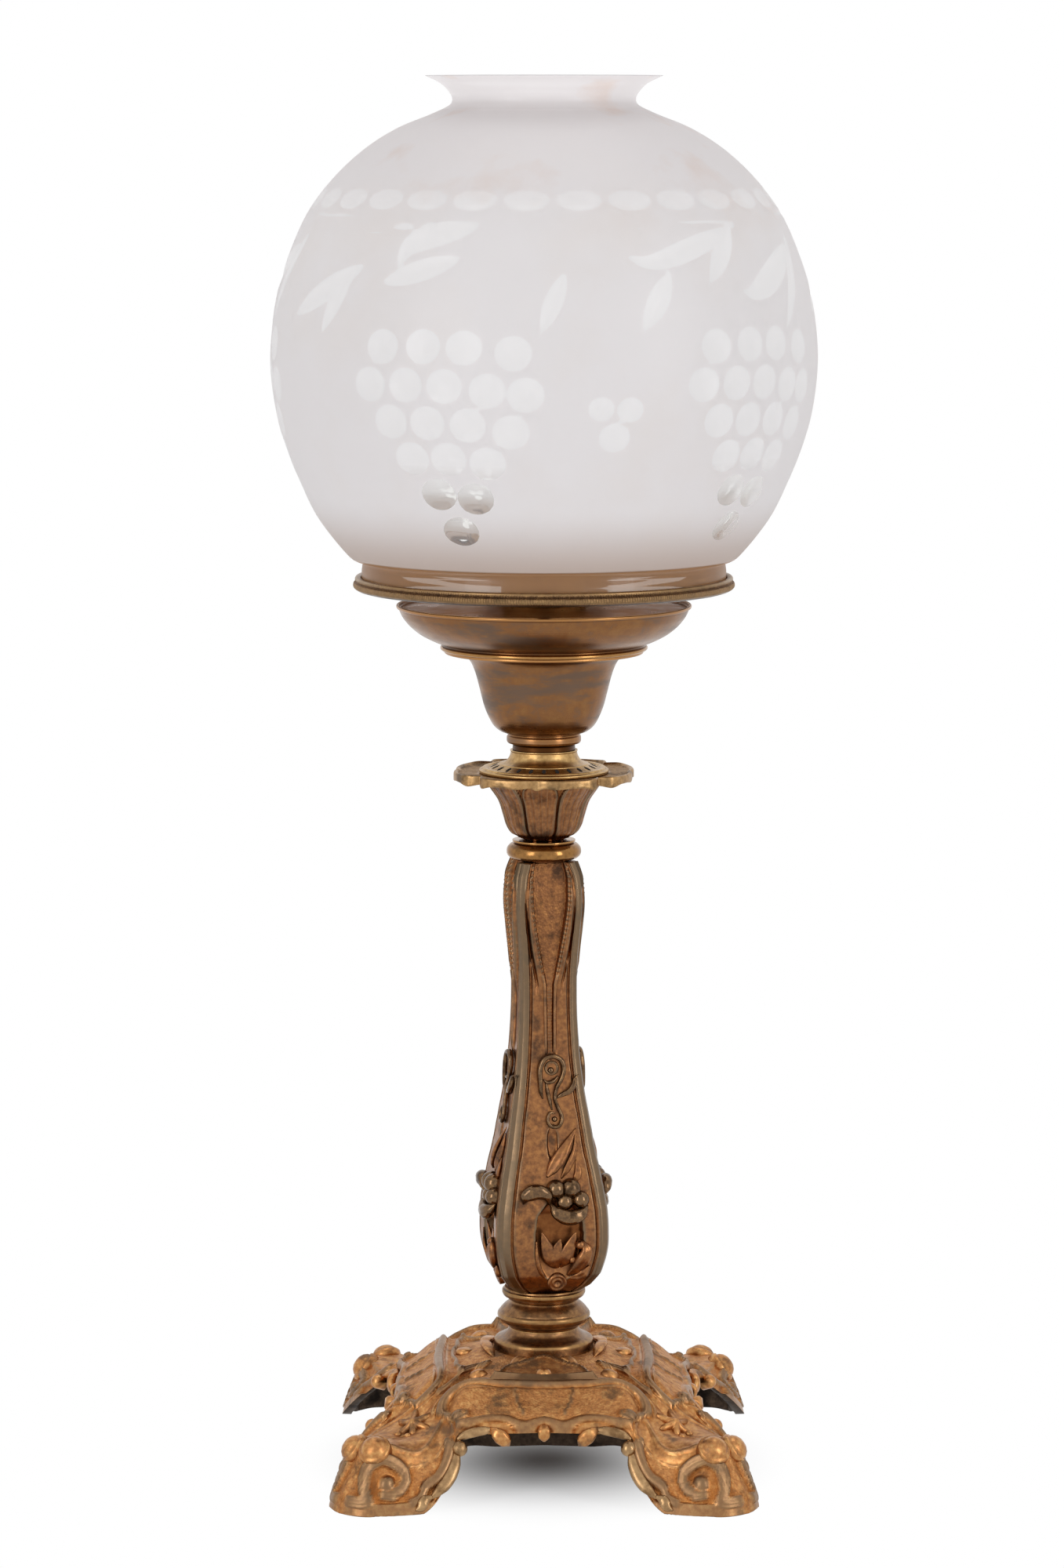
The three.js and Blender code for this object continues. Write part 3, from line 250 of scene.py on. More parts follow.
def skin(name, grids, materials, finishes=None, row_slots=None):
    """One mesh from grids of points in millimetres, rows by columns by three. Each grid's last
    column joins its first, and its last row its first unless it ends in single points. Faces
    whose volume comes out negative are turned round. Finishes are the worn, sheltered and
    punched shares of each point, and row_slots the material of each row."""
    points, quads, shares, slots, start, poles = [], [], [], [], 0, False
    for number, grid in enumerate(grids):
        rows, columns = grid.shape[:2]
        index = start + np.arange(rows * columns).reshape(rows, columns)
        pointed = np.ptp(grid[0], axis=0).max() < 1e-6
        poles = poles or pointed
        looped = index if pointed else np.concatenate([index, index[:1]])
        beside = np.roll(looped, -1, axis=1)
        flat = np.stack([looped[:-1], beside[:-1], beside[1:], looped[1:]], -1).reshape(-1, 4)
        corner = (grid - grid.mean(axis=(0, 1))).reshape(-1, 3)[flat - start]
        volume = np.einsum("ij,ij->", corner[:, 0], np.cross(corner[:, 1], corner[:, 2]))
        volume += np.einsum("ij,ij->", corner[:, 0], np.cross(corner[:, 2], corner[:, 3]))
        quads.append(flat if volume > 0 else flat[:, ::-1])
        points.append(grid.reshape(-1, 3))
        slot = np.zeros(len(looped) - 1) if row_slots is None else np.asarray(row_slots)
        slots.append(np.repeat(slot, columns))
        share = np.zeros((rows, columns, 3)) if finishes is None else finishes[number]
        shares.append(share.reshape(-1, 3))
        start += rows * columns
    points, quads = np.concatenate(points) / 1000, np.concatenate(quads)
    mesh = bpy.data.meshes.new(name)
    mesh.vertices.add(len(points))
    mesh.vertices.foreach_set("co", points.ravel())
    mesh.loops.add(quads.size)
    mesh.loops.foreach_set("vertex_index", quads.ravel().astype(np.int32))
    mesh.polygons.add(len(quads))
    mesh.polygons.foreach_set("loop_start", np.arange(0, quads.size, 4, dtype=np.int32))
    mesh.polygons.foreach_set("material_index", np.concatenate(slots).astype(np.int32))
    mesh.update(calc_edges=True)
    layer = mesh.attributes.new("finish", "FLOAT_COLOR", "POINT")
    colours = np.concatenate([np.concatenate(shares), np.ones((len(points), 1))], axis=1)
    layer.data.foreach_set("color", colours.ravel())
    if poles:
        joined = bmesh.new()
        joined.from_mesh(mesh)
        bmesh.ops.remove_doubles(joined, verts=joined.verts, dist=2e-8)
        joined.to_mesh(mesh)
        joined.free()
    mesh.shade_smooth()
    for material in materials:
        mesh.materials.append(material)
    piece = bpy.data.objects.new(name, mesh)
    bpy.context.scene.collection.objects.link(piece)
    return piece


kept_and_shade_share, rubbed_share = 0.65, 0.85   # how far a fully sheltered or worn place changes colour
grain_depth, dent_depth, lathe_depth, lathe_pitch = 0.06, 0.3, 0.03, 0.9


def aged_metal(name, ground, dark, pale, worn, sheltered, gloss, blotch=14, speck=2.4,
               turned=0.0, punch=1.1, veil=0.55, level=1.0):
    """Old lacquered or gilt metal. The ground is blotched with a darker patina and flecked
    with paler places; worn shares show the worn colour and sheltered ones the sheltered colour,
    which stands for gilding kept in hollows and for painted shade in creases and gaps. Gloss is
    the roughness of the clean metal. Lengths are millimetres: the size of the blotches and
    specks, and the pitch of the punched ground's dots. Turned is the depth of the lathe's fine
    rings, veil how much of the ground the blotches cover, and level how many times longer than
    tall they are."""
    made, tree = new_material(name)
    place = add(tree, "ShaderNodeTexCoord").outputs["Object"]
    mark = add(tree, "ShaderNodeAttribute", attribute_name="finish")
    share = add(tree, "ShaderNodeSeparateColor", {0: mark.outputs["Color"]})
    drawn = add(tree, "ShaderNodeVectorMath", {0: place, 1: (1, 1, level)}, operation="MULTIPLY")
    large = add(tree, "ShaderNodeTexNoise", {"Vector": drawn.outputs[0], "Scale": 1000 / blotch,
                                             "Detail": 7.0, "Roughness": 0.62})
    small = add(tree, "ShaderNodeTexNoise", {"Vector": place, "Scale": 1000 / speck,
                                             "Detail": 4.0, "Roughness": 0.6})
    covered = add(tree, "ShaderNodeMapRange", {
        "Value": large.outputs[0], "From Min": 0.7 - 0.35 * veil, "From Max": 0.86 - 0.35 * veil},
        interpolation_type="SMOOTHSTEP")
    flecked = add(tree, "ShaderNodeMapRange", {
        "Value": small.outputs[0], "From Min": 0.47, "From Max": 0.68, "To Max": 0.75})
    dusty = add(tree, "ShaderNodeMapRange", {
        "Value": small.outputs[0], "From Min": 0.46, "From Max": 0.3, "To Max": 0.6})
    # Sheltered places take the sheltered colour: gilding kept in hollows, and painted shade in
    # creases, gaps and marked heights.
    kept_and_shade = add(tree, "ShaderNodeMath", {0: share.outputs[1], 1: kept_and_shade_share}, operation="MULTIPLY")
    rubbed = add(tree, "ShaderNodeMath", {0: share.outputs[0], 1: rubbed_share},
                 operation="MULTIPLY")
    tone = linear(ground)
    for part, colour in ((flecked, pale), (dusty, dark), (covered, dark), (kept_and_shade, sheltered),
                         (rubbed, worn)):
        tone = add(tree, "ShaderNodeMix", {0: part.outputs[0], 6: tone, 7: linear(colour)},
                   data_type="RGBA").outputs[2]
    dull = add(tree, "ShaderNodeMapRange", {
        "Value": large.outputs[0], "From Min": 0.35, "From Max": 0.7,
        "To Min": gloss, "To Max": min(gloss + 0.2, 0.8)})
    axis = add(tree, "ShaderNodeSeparateXYZ", {0: place})
    flat = add(tree, "ShaderNodeCombineXYZ", {"X": axis.outputs[0], "Y": axis.outputs[1]})
    reach = add(tree, "ShaderNodeVectorMath", {0: flat.outputs[0]}, operation="LENGTH")
    rings = add(tree, "ShaderNodeCombineXYZ", {"X": reach.outputs["Value"], "Z": axis.outputs[2]})
    lathe = add(tree, "ShaderNodeTexNoise", {"Vector": rings.outputs[0],
                                             "Scale": 1000 / lathe_pitch, "Detail": 2.0})
    dots = add(tree, "ShaderNodeTexVoronoi", {"Vector": place, "Scale": 1000 / punch})
    dent = add(tree, "ShaderNodeMath", {0: dots.outputs["Distance"], 1: share.outputs[2]},
               operation="MULTIPLY")
    grain = add(tree, "ShaderNodeBump", {
        "Height": small.outputs[0], "Distance": grain_depth / 1000, "Strength": 0.5})
    punches = add(tree, "ShaderNodeBump", {
        "Height": dent.outputs[0], "Distance": dent_depth / 1000, "Strength": 0.8,
        "Normal": grain.outputs[0]})
    turning = add(tree, "ShaderNodeBump", {
        "Height": lathe.outputs[0], "Distance": lathe_depth / 1000, "Strength": turned,
        "Normal": punches.outputs[0]})
    matt = add(tree, "ShaderNodeMath", {0: share.outputs[2], 1: 0.2, 2: dull.outputs[0]},
               operation="MULTIPLY_ADD")
    metal = add(tree, "ShaderNodeBsdfPrincipled", {
        "Base Color": tone, "Metallic": 1.0, "Roughness": matt.outputs[0],
        "Normal": turning.outputs[0]})
    add(tree, "ShaderNodeOutputMaterial", {"Surface": metal.outputs[0]})
    return made


# Mercury gilding over cast bronze: orange where it is sheltered, grey-brown where hands wore
# it, with dark tarnish between. The eye sees a warm punched ground and dull smooth scrolls.
worn_gilding = aged_metal("worn_mercury_gilding", "#b07a4a", "#74563c", "#d0a268", "#7a624a",
                          "#9c5c24", 0.3, veil=0.5)
# Rims that feet and hands rubbed through the gilding to pale brass.
rim_brass = aged_metal("rubbed_rim_brass", "#9c7c58", "#75593c", "#bf9c70", "#b08c64",
                       "#7a5228", 0.26, blotch=10, speck=4)
# Bare cast bronze under the base, black with age: it takes no highlight.
black_casting = aged_metal("black_cast_underside", "#41342a", "#221c18", "#5a4a3c", "#4a3c30",
                           "#2c241e", 0.55)

# Rows from the plateau's edge out and down to the rim, from the middle of a side to its
# corner: along the side, out from the axis, and up.
base_rows = [
    [[0, 50, 50.5], [17, 50, 50.5], [31, 49.5, 50.3], [38.5, 50, 48], [43.5, 50.5, 45],
     [47, 50.5, 43], [49.5, 49.5, 41]],
    [[0, 57, 49], [19, 57, 49], [36.5, 57.5, 48], [45, 63, 38], [53, 66.5, 32.5],
     [59, 66.5, 30.5], [63.5, 63.5, 28.5]],
    [[0, 63.5, 45], [20, 63.5, 45], [38.5, 66, 41], [47.5, 77, 28.5], [62, 84.5, 26],
     [73.5, 86.5, 29.5], [80.5, 80.5, 30.5]],
    [[0, 71, 41], [20, 71, 41], [38.5, 72.5, 38.5], [46.5, 81, 25.5], [61, 89.5, 16],
     [76.5, 92.5, 19], [86.5, 86.5, 19]],
    [[0, 75.5, 37], [20, 75.5, 36.5], [37.5, 76, 36.5], [44.5, 84.3, 21.5], [59, 94.5, 6],
     [79, 97.5, 7], [91.8, 91.8, 7]],
    [[0, 76.5, 33.2], [20, 76.5, 32.5], [37, 77.5, 31], [41.2, 85.5, 16.5], [55.5, 96, 0],
     [80, 99.2, 0], [92.8, 92.8, 0]],
]
# The left and right sides stand steeper, and their feet touch the floor only at the corners.
side_rows = [
    [[0, 45, 50.5], [17, 45.2, 50.5], [31, 45.8, 50.3], [38.5, 47, 48], [43.5, 49.2, 45],
     [47, 50.2, 43], [49.5, 49.5, 41]],
    [[0, 51.5, 49], [19, 51.6, 49], [36.5, 52.8, 48], [45, 59, 38.5], [53, 63.8, 33],
     [59, 65.2, 30.5], [63.5, 63.5, 28.5]],
    [[0, 57.5, 45], [20, 57.6, 45], [38.5, 60.5, 41], [47.5, 71, 31], [62, 80.5, 27],
     [73.5, 84.5, 28.5], [80.5, 80.5, 30.5]],
    [[0, 64, 41], [20, 64, 41], [38.5, 66, 38.5], [47.5, 75, 30.5], [61.5, 85.5, 21.5],
     [76.5, 90.5, 19], [86.5, 86.5, 19]],
    [[0, 67.8, 37], [20, 67.8, 36.5], [37.5, 69, 36.5], [46.5, 79, 28], [60, 89, 16.5],
     [79.5, 94.8, 7], [91.8, 91.8, 7]],
    [[0, 69, 33.2], [20, 69, 32.5], [37, 70.5, 31], [44, 79.5, 25], [59, 90, 13],
     [80.5, 96.6, 0.8], [92.8, 92.8, 0]],
]
base_reach = 102
base_seat = 23.2                # radius of the top's hole, hidden by the turned collar
seat_height, seat_flat = 51, 37 # the plateau is flat this far out
plateau_foot = 36               # the plateau's ornament lies above this height, the legs' below
panel_half = 40                 # and the legs' beyond this, along the side
base_mound = 3.5                # the top swells up round the collar
mound_inner, mound_outer = 27, 44
base_wall = 3.2
inner_drop, inner_half = 8, 46
across_steps, out_steps, under_steps = 88, 116, 20

# Ornament of a side panel: along the side, and down its slope, measured level.
slope_stretch = 1.19            # level length to length on the slope
panel_frame = [[0, 54.6], [12, 54.2], [22, 53.2], [33, 51.6], [41, 52], [45.5, 55.5],
               [46.8, 60], [45.5, 65], [42.5, 69.5], [39, 72.5]]
panel_foot = [[39, 74.6], [34.3, 75], [26, 73.4], [18, 73.5], [9.1, 75.8], [0, 74.2]]
panel_field = [[0, 57.2], [21.7, 56.6], [37.3, 56.2], [42.8, 57], [44, 60], [42.5, 64.5],
               [38, 69.5], [34.3, 72.9], [25.9, 71.4], [18.1, 71.6], [9.1, 73.9], [0, 72.4]]
panel_rib = [[12.5, 57.1], [12.9, 60], [12.4, 64], [9.1, 71.8]]
panel_eye = [38.6, 70.3]
# Ornament of a leg: along the side, and up.
leg_rim = [[42.5, 28.5], [43.6, 23.8], [45.6, 18.8], [48.6, 15], [52.6, 12.8], [55.2, 10.6],
           [55.6, 7.6], [59.5, 5.2]]
leg_scroll = [[88, 6], [80.1, 6.4], [81.1, 9.9], [81.3, 15], [79.7, 19.9], [76.5, 23.1],
              [72.6, 24.3], [66.6, 21.2], [63, 16.5], [64.2, 12.1], [68.3, 9.1], [72, 9.6]]
leg_eye = [71.2, 13.9]
leg_valley = [[44.4, 33.9], [48.7, 28.1], [52.6, 24.6], [58.1, 22.9], [64.6, 24.1], [70.3, 26.4]]
leg_field = [[49, 24], [53, 21.6], [58, 19.8], [61, 19.5], [60.2, 14], [62, 9.5], [68, 7.6],
             [57.6, 8.4], [55.6, 13.8], [51, 18]]
foot_band = 5.6
# Ornament of the plateau: along the side, and out from the axis.
front_crest = [[24, 53], [22.4, 50.7], [20.6, 44], [18.8, 38.1], [15.8, 35.2], [9.4, 33.2],
               [6, 31], [3, 29], [0, 27.5]]
side_band = [[0, 46.6], [7, 45.9], [13.5, 43.6], [22, 43.7], [27, 40.7], [34.5, 41.2],
             [40.8, 44.8], [45.5, 48.9]]
side_leaf = [[30, 2], [31.5, 13], [26.7, 24], [26, 33.8], [31.5, 40]]


def base_relief(along, out, up, front):
    """Height of the cast ornament and its punched share at points of half a side: mouldings
    are ridges round paths, and grounds are sunk inside outlines. Panels and plateau are laid
    out level, and legs upright."""
    down = out * slope_stretch
    stretched = [1, slope_stretch]
    top = up > plateau_foot
    leg = (up < plateau_foot + 1) & (along > panel_half)
    height = np.zeros(along.shape)
    punched = np.zeros(along.shape)

    frame_away, _ = path_distance(along, down, smooth_path(panel_frame) * stretched)
    foot_away, _ = path_distance(along, down, smooth_path(panel_foot) * stretched)
    field = inside_distance(along, down, mirrored(panel_field) * stretched)
    rib_away, _ = path_distance(along, down, smooth_path(panel_rib) * stretched)
    eye = np.hypot(along - panel_eye[0], down - panel_eye[1] * slope_stretch)
    height += ledge(field, 0.9, -1.7) + ridge(frame_away, 2.6, 2.4)
    bead = ridge(np.abs(frame_away - 4.3), 0.8, 0.7) - ridge(frame_away - 3.0, 0.5, 0.6)
    height += bead * (field < 0)
    height = np.maximum(height, ridge(foot_away, 1.7, 1.5))
    height += ridge(rib_away, 0.8, 1.0) * (field > 0)
    height = np.where(eye < 4.4, ridge(eye, 4.4, 3.2) - ridge(eye - 2.7, 0.6, 0.9), height)
    punched = np.maximum(punched, (field > 0.4) & (rib_away > 0.9))

    rim_away, _ = path_distance(along, up, smooth_path(leg_rim))
    scroll_away, _ = path_distance(along, up, smooth_path(leg_scroll, 60))
    eye = np.hypot(along - leg_eye[0], up - leg_eye[1])
    valley, _ = path_distance(along, up, smooth_path(leg_valley))
    ground = inside_distance(along, up, smooth_path(leg_field + leg_field[:1], 60))
    leg_height = ridge(rim_away, 2.5, 2.2) - ridge(valley, 2.3, 1.3) + ridge(valley - 2.9, 0.8, 0.8)
    band = ledge(2.5 - scroll_away, 1.0, 2.1) - ridge(scroll_away - 1.1, 0.35, 0.35)
    leg_height = np.maximum(leg_height, band)
    leg_height = np.where(eye < 3.6, ridge(eye, 3.6, 2.6), leg_height)
    leg_height += ledge(ground, 1, -1.4)
    leg_height = np.maximum(leg_height, ledge(foot_band - up, 0.8, 1.3))
    leg_height *= np.clip((out - along) / 7, 0, 1)
    inside_leg = (scroll_away > 2) & (eye > 4.5) & (up > 6.2) & (rim_away > 2) & (valley > 3.6)
    height = np.where(leg, leg_height, height)
    punched = np.where(leg & inside_leg & (up < 27), 1.0, punched)

    if front:
        crest = inside_distance(along, out, mirrored(front_crest))
        crest_height = ledge(crest, 1.2, 2.6) + ridge(crest - 0.6, 1.0, 1.1)
        punched = np.where((out < 52) & (crest < -1) & top, 1.0, punched)
        punched = np.where((crest > 1.4) & top, 0.6, punched)
    else:
        band, _ = path_distance(along, out, smooth_path(side_band))
        leaf, _ = path_distance(along, out, smooth_path(side_leaf))
        crest_height = ridge(band, 1.7, 1.6) + ridge(leaf, 2.4, 2.0) - ridge(leaf, 0.4, 0.5)
        punched = np.where((out < 50) & (band > 1.5) & (leaf > 2.3) & top, 1.0, punched)
    reach = np.hypot(along, out)
    height += np.where(top & (out < 53), crest_height, 0) * ledge(reach - 25, 3, 1)
    return height, punched.astype(float)


def base_sheet(rows):
    """Points of half a side from the hole's edge out to the rim: smooth curves through the
    rows and across them."""
    columns = np.swapaxes(np.array(rows, float), 0, 1)
    across = curve_through(columns, np.linspace(0, len(columns) - 1, across_steps + 1))
    rows = np.swapaxes(across, 0, 1)
    reach = np.hypot(rows[0, :, 0], rows[0, :, 1])
    seat, middle = (rows[0] * (radius / reach)[:, None] for radius in (base_seat, seat_flat))
    seat[:, 2] = middle[:, 2] = seat_height
    lines = np.concatenate([[seat], [middle], rows])
    plain = curve_through(lines, np.linspace(0, len(lines) - 1, out_steps))
    plain[..., 2] = np.clip(plain[..., 2], 0, seat_height)
    return plain


def whole_ring(front, side):
    """A quarter turn is half of one side and half of the next, mirrored in the diagonal. The
    whole ring is two pairs of such quarters and their mirror images."""
    near = np.stack([front[..., 0], -front[..., 1], front[..., 2]], -1)
    far = np.stack([side[..., 1], -side[..., 0], side[..., 2]], -1)[:, ::-1][:, 1:]
    quarter = np.concatenate([near, far], axis=1)
    flipped = quarter[:, ::-1] * [1, -1, 1]
    right = np.concatenate([quarter, flipped[:, 1:]], axis=1)
    left = right[:, ::-1] * [-1, 1, 1]
    return np.concatenate([right, left[:, 1:-1]], axis=1)


def whole_field(front, side):
    """A number for each point, carried round as whole_ring carries the points."""
    quarter = np.concatenate([front, side[:, ::-1][:, 1:]], axis=1)
    right = np.concatenate([quarter, quarter[:, ::-1][:, 1:]], axis=1)
    return np.concatenate([right, right[:, ::-1][:, 1:-1]], axis=1)


front_plain, side_plain = base_sheet(base_rows), base_sheet(side_rows)
layout = front_plain[..., 0], front_plain[..., 1], front_plain[..., 2]
front_height, front_punched = base_relief(*layout, True)
side_height, side_punched = base_relief(*layout, False)
base_plain = whole_ring(front_plain, side_plain)
base_lift = whole_field(front_height, side_height)
base_punched = whole_field(front_punched, side_punched)
base_normal = normals_of(base_plain)
base_normal *= np.sign(base_normal[0, 0, 2])
base_top = base_plain + base_normal * base_lift[..., None]
swell = ledge(mound_outer - np.hypot(base_top[..., 0], base_top[..., 1])
              - (mound_outer - mound_inner) / 2, mound_outer - mound_inner, base_mound)
base_top[..., 2] = np.maximum(base_top[..., 2] + swell, 0)
base_top[..., :2] = np.clip(base_top[..., :2], -base_reach, base_reach)

under_rows = np.linspace(out_steps - 1, 0, under_steps).astype(int)
base_under = (base_plain - base_normal * base_wall)[under_rows]
base_under[..., 2] = np.clip(base_under[..., 2], 0, None)
base_under[0, :, 2] = base_top[-1, :, 2]
# Inside the skirt the casting's raw wall hangs a little lower, between the feet.
along_side = np.abs(np.minimum(np.abs(base_under[0, :, 0]), np.abs(base_under[0, :, 1])))
base_under[1:4, :, 2] -= inner_drop * np.clip((inner_half - along_side) / 6, 0, 1)
base_under[..., 2] = np.clip(base_under[..., 2], 0, None)
base_worn, base_sheltered = wear_of(base_lift, 10, 0.7)
# Hands reach what stands more than half a millimetre proud, but not into a punched ground.
base_handled = np.clip((base_lift - 0.5) / 1.3, 0, 0.9) * (base_punched < 0.5)
base_worn = np.maximum(base_worn, base_handled)
base_finish = np.stack([base_worn, base_sheltered, base_punched], -1)
base_finish = np.concatenate([base_finish, np.zeros(base_under.shape)])
base_slots = np.repeat([0, 1], [out_steps - 1, under_steps + 1])
base_skin = skin("base_casting_skin", [np.concatenate([base_top, base_under])],
                 [worn_gilding, black_casting], [base_finish], base_slots)


def turned_frame(normal):
    """A unit normal and two unit directions across it."""
    ahead = np.asarray(normal, float) / np.linalg.norm(normal)
    helper = [0, 0, 1] if abs(ahead[2]) < 0.95 else [1, 0, 0]
    side = np.cross(helper, ahead)
    side = side / np.linalg.norm(side)
    return ahead, side, np.cross(ahead, side)


def rosette(centre, normal, outline, petals=0, depth=0.0, columns=32):
    """A small round ornament on a surface: its outline of distance and height from the middle
    is carried round the normal, and drawn in between the petals in step with the distance."""
    outline = np.asarray(outline, float)
    ahead, side, other = turned_frame(normal)
    angle = np.linspace(0, 2 * np.pi, columns, endpoint=False)
    share = outline[:, :1] / outline[:, 0].max()
    reach = outline[:, :1] * (1 - depth * share * (0.5 - 0.5 * np.cos(petals * angle)))
    return (np.asarray(centre, float) + (reach * np.cos(angle))[..., None] * side
            + (reach * np.sin(angle))[..., None] * other
            + np.repeat(outline[:, 1:], columns, axis=1)[..., None] * ahead)


def dome(radius, height, sunk):
    """The outline of a domed button, from its top to below the surface it stands on."""
    turn = np.linspace(0, np.pi / 2, 7)
    cap = np.stack([radius * np.sin(turn), height * np.cos(turn)], -1)
    return np.concatenate([cap, [[radius, -sunk], [0, -sunk]]])


def cast_rod(path, wide, thick, out, groove=0.0, columns=14, steps=26):
    """A cast scroll, stalk or leaf along a smooth path, with its half width and thickness at
    each step, flat side to the given outward direction. A share of the thickness is taken
    away along the middle of its front as a groove."""
    path = smooth_path(path, steps)
    at = np.linspace(0, 1, len(path))
    wide = np.interp(at, np.linspace(0, 1, len(wide)), wide)
    thick = np.interp(at, np.linspace(0, 1, len(thick)), thick)
    ahead = np.gradient(path, axis=0)
    ahead /= np.maximum(np.linalg.norm(ahead, axis=1, keepdims=True), 1e-9)
    side = np.cross(ahead, np.asarray(out, float))
    side /= np.maximum(np.linalg.norm(side, axis=1, keepdims=True), 1e-9)
    front = np.cross(side, ahead)
    angle = np.linspace(0, 2 * np.pi, columns, endpoint=False)
    across, up = np.cos(angle), np.sin(angle)
    up = np.where(up > 0, up - groove * np.exp(-(across / 0.3) ** 2), up)
    grid = (path[:, None] + (wide[:, None] * across)[..., None] * side[:, None]
            + (thick[:, None] * up)[..., None] * front[:, None])
    return np.concatenate([np.repeat(path[:1, None], columns, 1), grid,
                           np.repeat(path[-1:, None], columns, 1)])


def quarter_turn(grid, turn, degrees=0.0):
    """Points turned round the axis by a number of quarter turns and some degrees."""
    angle = turn * np.pi / 2 + np.radians(degrees)
    c, s = np.cos(angle), np.sin(angle)
    return grid @ np.array([[c, s, 0], [-s, c, 0], [0, 0, 1]])


def on_base(x, y, lift=0.0):
    """The point of the base's upper surface nearest to a place seen from above, raised along
    the surface's normal, and that normal."""
    away = np.hypot(base_top[..., 0] - x, base_top[..., 1] - y)
    here = np.unravel_index(away.argmin(), away.shape)
    return base_top[here] + base_normal[here] * lift, base_normal[here]


# Bosses, stars, leaves and pendants that stand proud of the casting: one corner, and one side
# with its mirror image, are carried round.
boss = [[0, 5.0], [2.4, 4.7], [4.4, 3.7], [5.8, 2.2], [6.3, 1.0], [7.0, 1.0], [7.6, 0.2],
        [7.6, -4], [0, -4]]
star = [[0, 4.4], [1.6, 3.4], [4.2, 2.4], [9.6, 1.2], [9.6, -4], [0, -4]]
button = [[0, 3.0], [2.2, 2.7], [3.8, 1.7], [4.7, 0], [4.7, -3], [0, -3]]
flat_button = [[0, 1.7], [2.9, 1.6], [3.7, 1.0], [4.0, -0.4], [4.0, -3], [0, -3]]
# Half widths and thicknesses along a leaf and along a pendant.
leaf_size = [0.6, 2.6, 3.5, 3.0, 0.4], [0.6, 2.0, 2.6, 2.2, 0.3]
pendant_size = [2.0, 3.0, 2.7, 0.6], [0.8, 1.8, 1.5, 0.3]
corner_grids = [
    rosette(*on_base(59, -59, 0.6), star, 6, 0.62, 96),
    rosette(*on_base(66.5, -62.5), dome(1.8, 1.2, 3)),
    rosette(*on_base(62.5, -66.5), dome(1.8, 1.2, 3)),
]
front_grids = []
for x in (-1, 1):
    mirror = np.array([x, 1, 1])
    front_grids += [
        rosette(*on_base(x * 77, -87.5, -0.2), boss),
        cast_rod(mirror * [[24.5, -76.8, 35.6], [21.5, -79.6, 33.6], [18, -79.6, 30.4],
                           [15.8, -77.8, 27.4]], *leaf_size, [0, -1, 0.1], 0.35),
        cast_rod(mirror * [[8, -27.5, 55.2], [10.5, -30, 56.2], [13.6, -34, 54.6],
                           [14.6, -38.5, 52.6]],
                 [1, 2.6, 2.9, 1.9, 0.3], [0.5, 1.5, 1.6, 1.2, 0.3], [0, 0, 1], 0.4),
        rosette(*on_base(x * 30.6, -36.5), button),
        cast_rod([on_base(x * 23.5, -19)[0], on_base(x * 26, -10)[0] + [0, 0, 1.8],
                  on_base(x * 27.5, 0)[0] + [0, 0, 2.2], on_base(x * 25, 9)[0]],
                 [0.3, 2.4, 2.8, 1.8, 0.3], [0.3, 1.3, 1.6, 1.2, 0.3], [0, 0, 1], 0.4),
    ]
front_grids += [
    rosette(*on_base(0, -47.6, -0.2), dome(3.6, 3.0, 3)),
    cast_rod([[0, -75.4, 36.8], [0, -78.2, 34.4], [0, -78.0, 31.4], [0, -77.0, 29.2]],
             *pendant_size, [0, -1, 0.1], 0.3),
]
# The rubbed rims: a bud, the panel's lower rim, and the leg's inner rim down to the foot.
front_rims = []
for x in (-1, 1):
    mirror = np.array([x, 1, 1])
    front_rims += [
        rosette([x * 38.4, -81.4, 27.0], [-x * 0.3, -1, 0.4], dome(3.6, 3.4, 4)),
        cast_rod(mirror * [[22, -77.0, 34.8], [29, -77.6, 34.2], [35, -78.6, 33.0],
                           [39.5, -80.2, 31.0]],
                 [0.5, 2.1, 2.3, 2.0, 0.6], [0.4, 1.4, 1.6, 1.4, 0.4], [0, -1, 0.3]),
        cast_rod(mirror * [[39.8, -81.8, 26.0], [40.8, -85.6, 19.8], [44.0, -89.4, 13.8],
                           [48.6, -92.4, 9.4], [51.6, -94.0, 7.0]],
                 [1.6, 2.6, 3.0, 2.8, 1.6, 0.4], [0.8, 1.6, 1.9, 1.8, 1.0, 0.3], [0, -1, 0.35],
                 steps=40),
        cast_rod(mirror * [[50.6, -93.6, 8.2], [54.2, -95.4, 6.6], [55.6, -96.6, 4.2],
                           [58.0, -97.4, 2.6]],
                 [0.6, 2.4, 2.7, 2.0, 0.4], [0.5, 1.6, 1.7, 1.4, 0.3], [0, -1, 0.35], steps=30),
    ]
# The left and right sides are narrower, so their ornament sits further in.
edge_grids = []
for x in (-1, 1):
    mirror = np.array([x, 1, 1])
    edge_grids += [
        rosette(*on_base(x * 37.4, -1.0), flat_button),
        rosette([x * 79.4, -41.4, 27.2], [x, 0.5, 0.4], dome(3.4, 3.2, 4)),
        rosette([x * 79.4, 41.4, 27.2], [x, -0.5, 0.4], dome(3.4, 3.2, 4)),
        cast_rod(mirror * [[68.0, 0, 36.8], [70.8, 0, 34.4], [70.6, 0, 31.4], [69.6, 0, 29.2]],
                 *pendant_size, [x, 0, 0.1], 0.3),
    ]
    for y in (-1, 1):
        mirror = np.array([x, y, 1])
        edge_grids += [
            rosette(*on_base(x * 87.5, y * 76.5, -0.6), boss),
            cast_rod(mirror * [[69.2, 24.5, 35.6], [72, 21.5, 33.6], [72, 18, 30.4],
                               [70.2, 15.8, 27.4]], *leaf_size, [x, 0, 0.1], 0.35),
            cast_rod(mirror * [[69.4, 22, 34.8], [70.6, 31, 33.6], [73.4, 38, 31.8],
                               [78.4, 43, 28.4]],
                     [0.5, 2.3, 2.4, 2.0, 0.6], [0.4, 1.3, 1.4, 1.3, 0.4], [x, 0, 0.3]),
        ]
base_buttons = [quarter_turn(grid, turn) for turn in range(4) for grid in corner_grids] + edge_grids
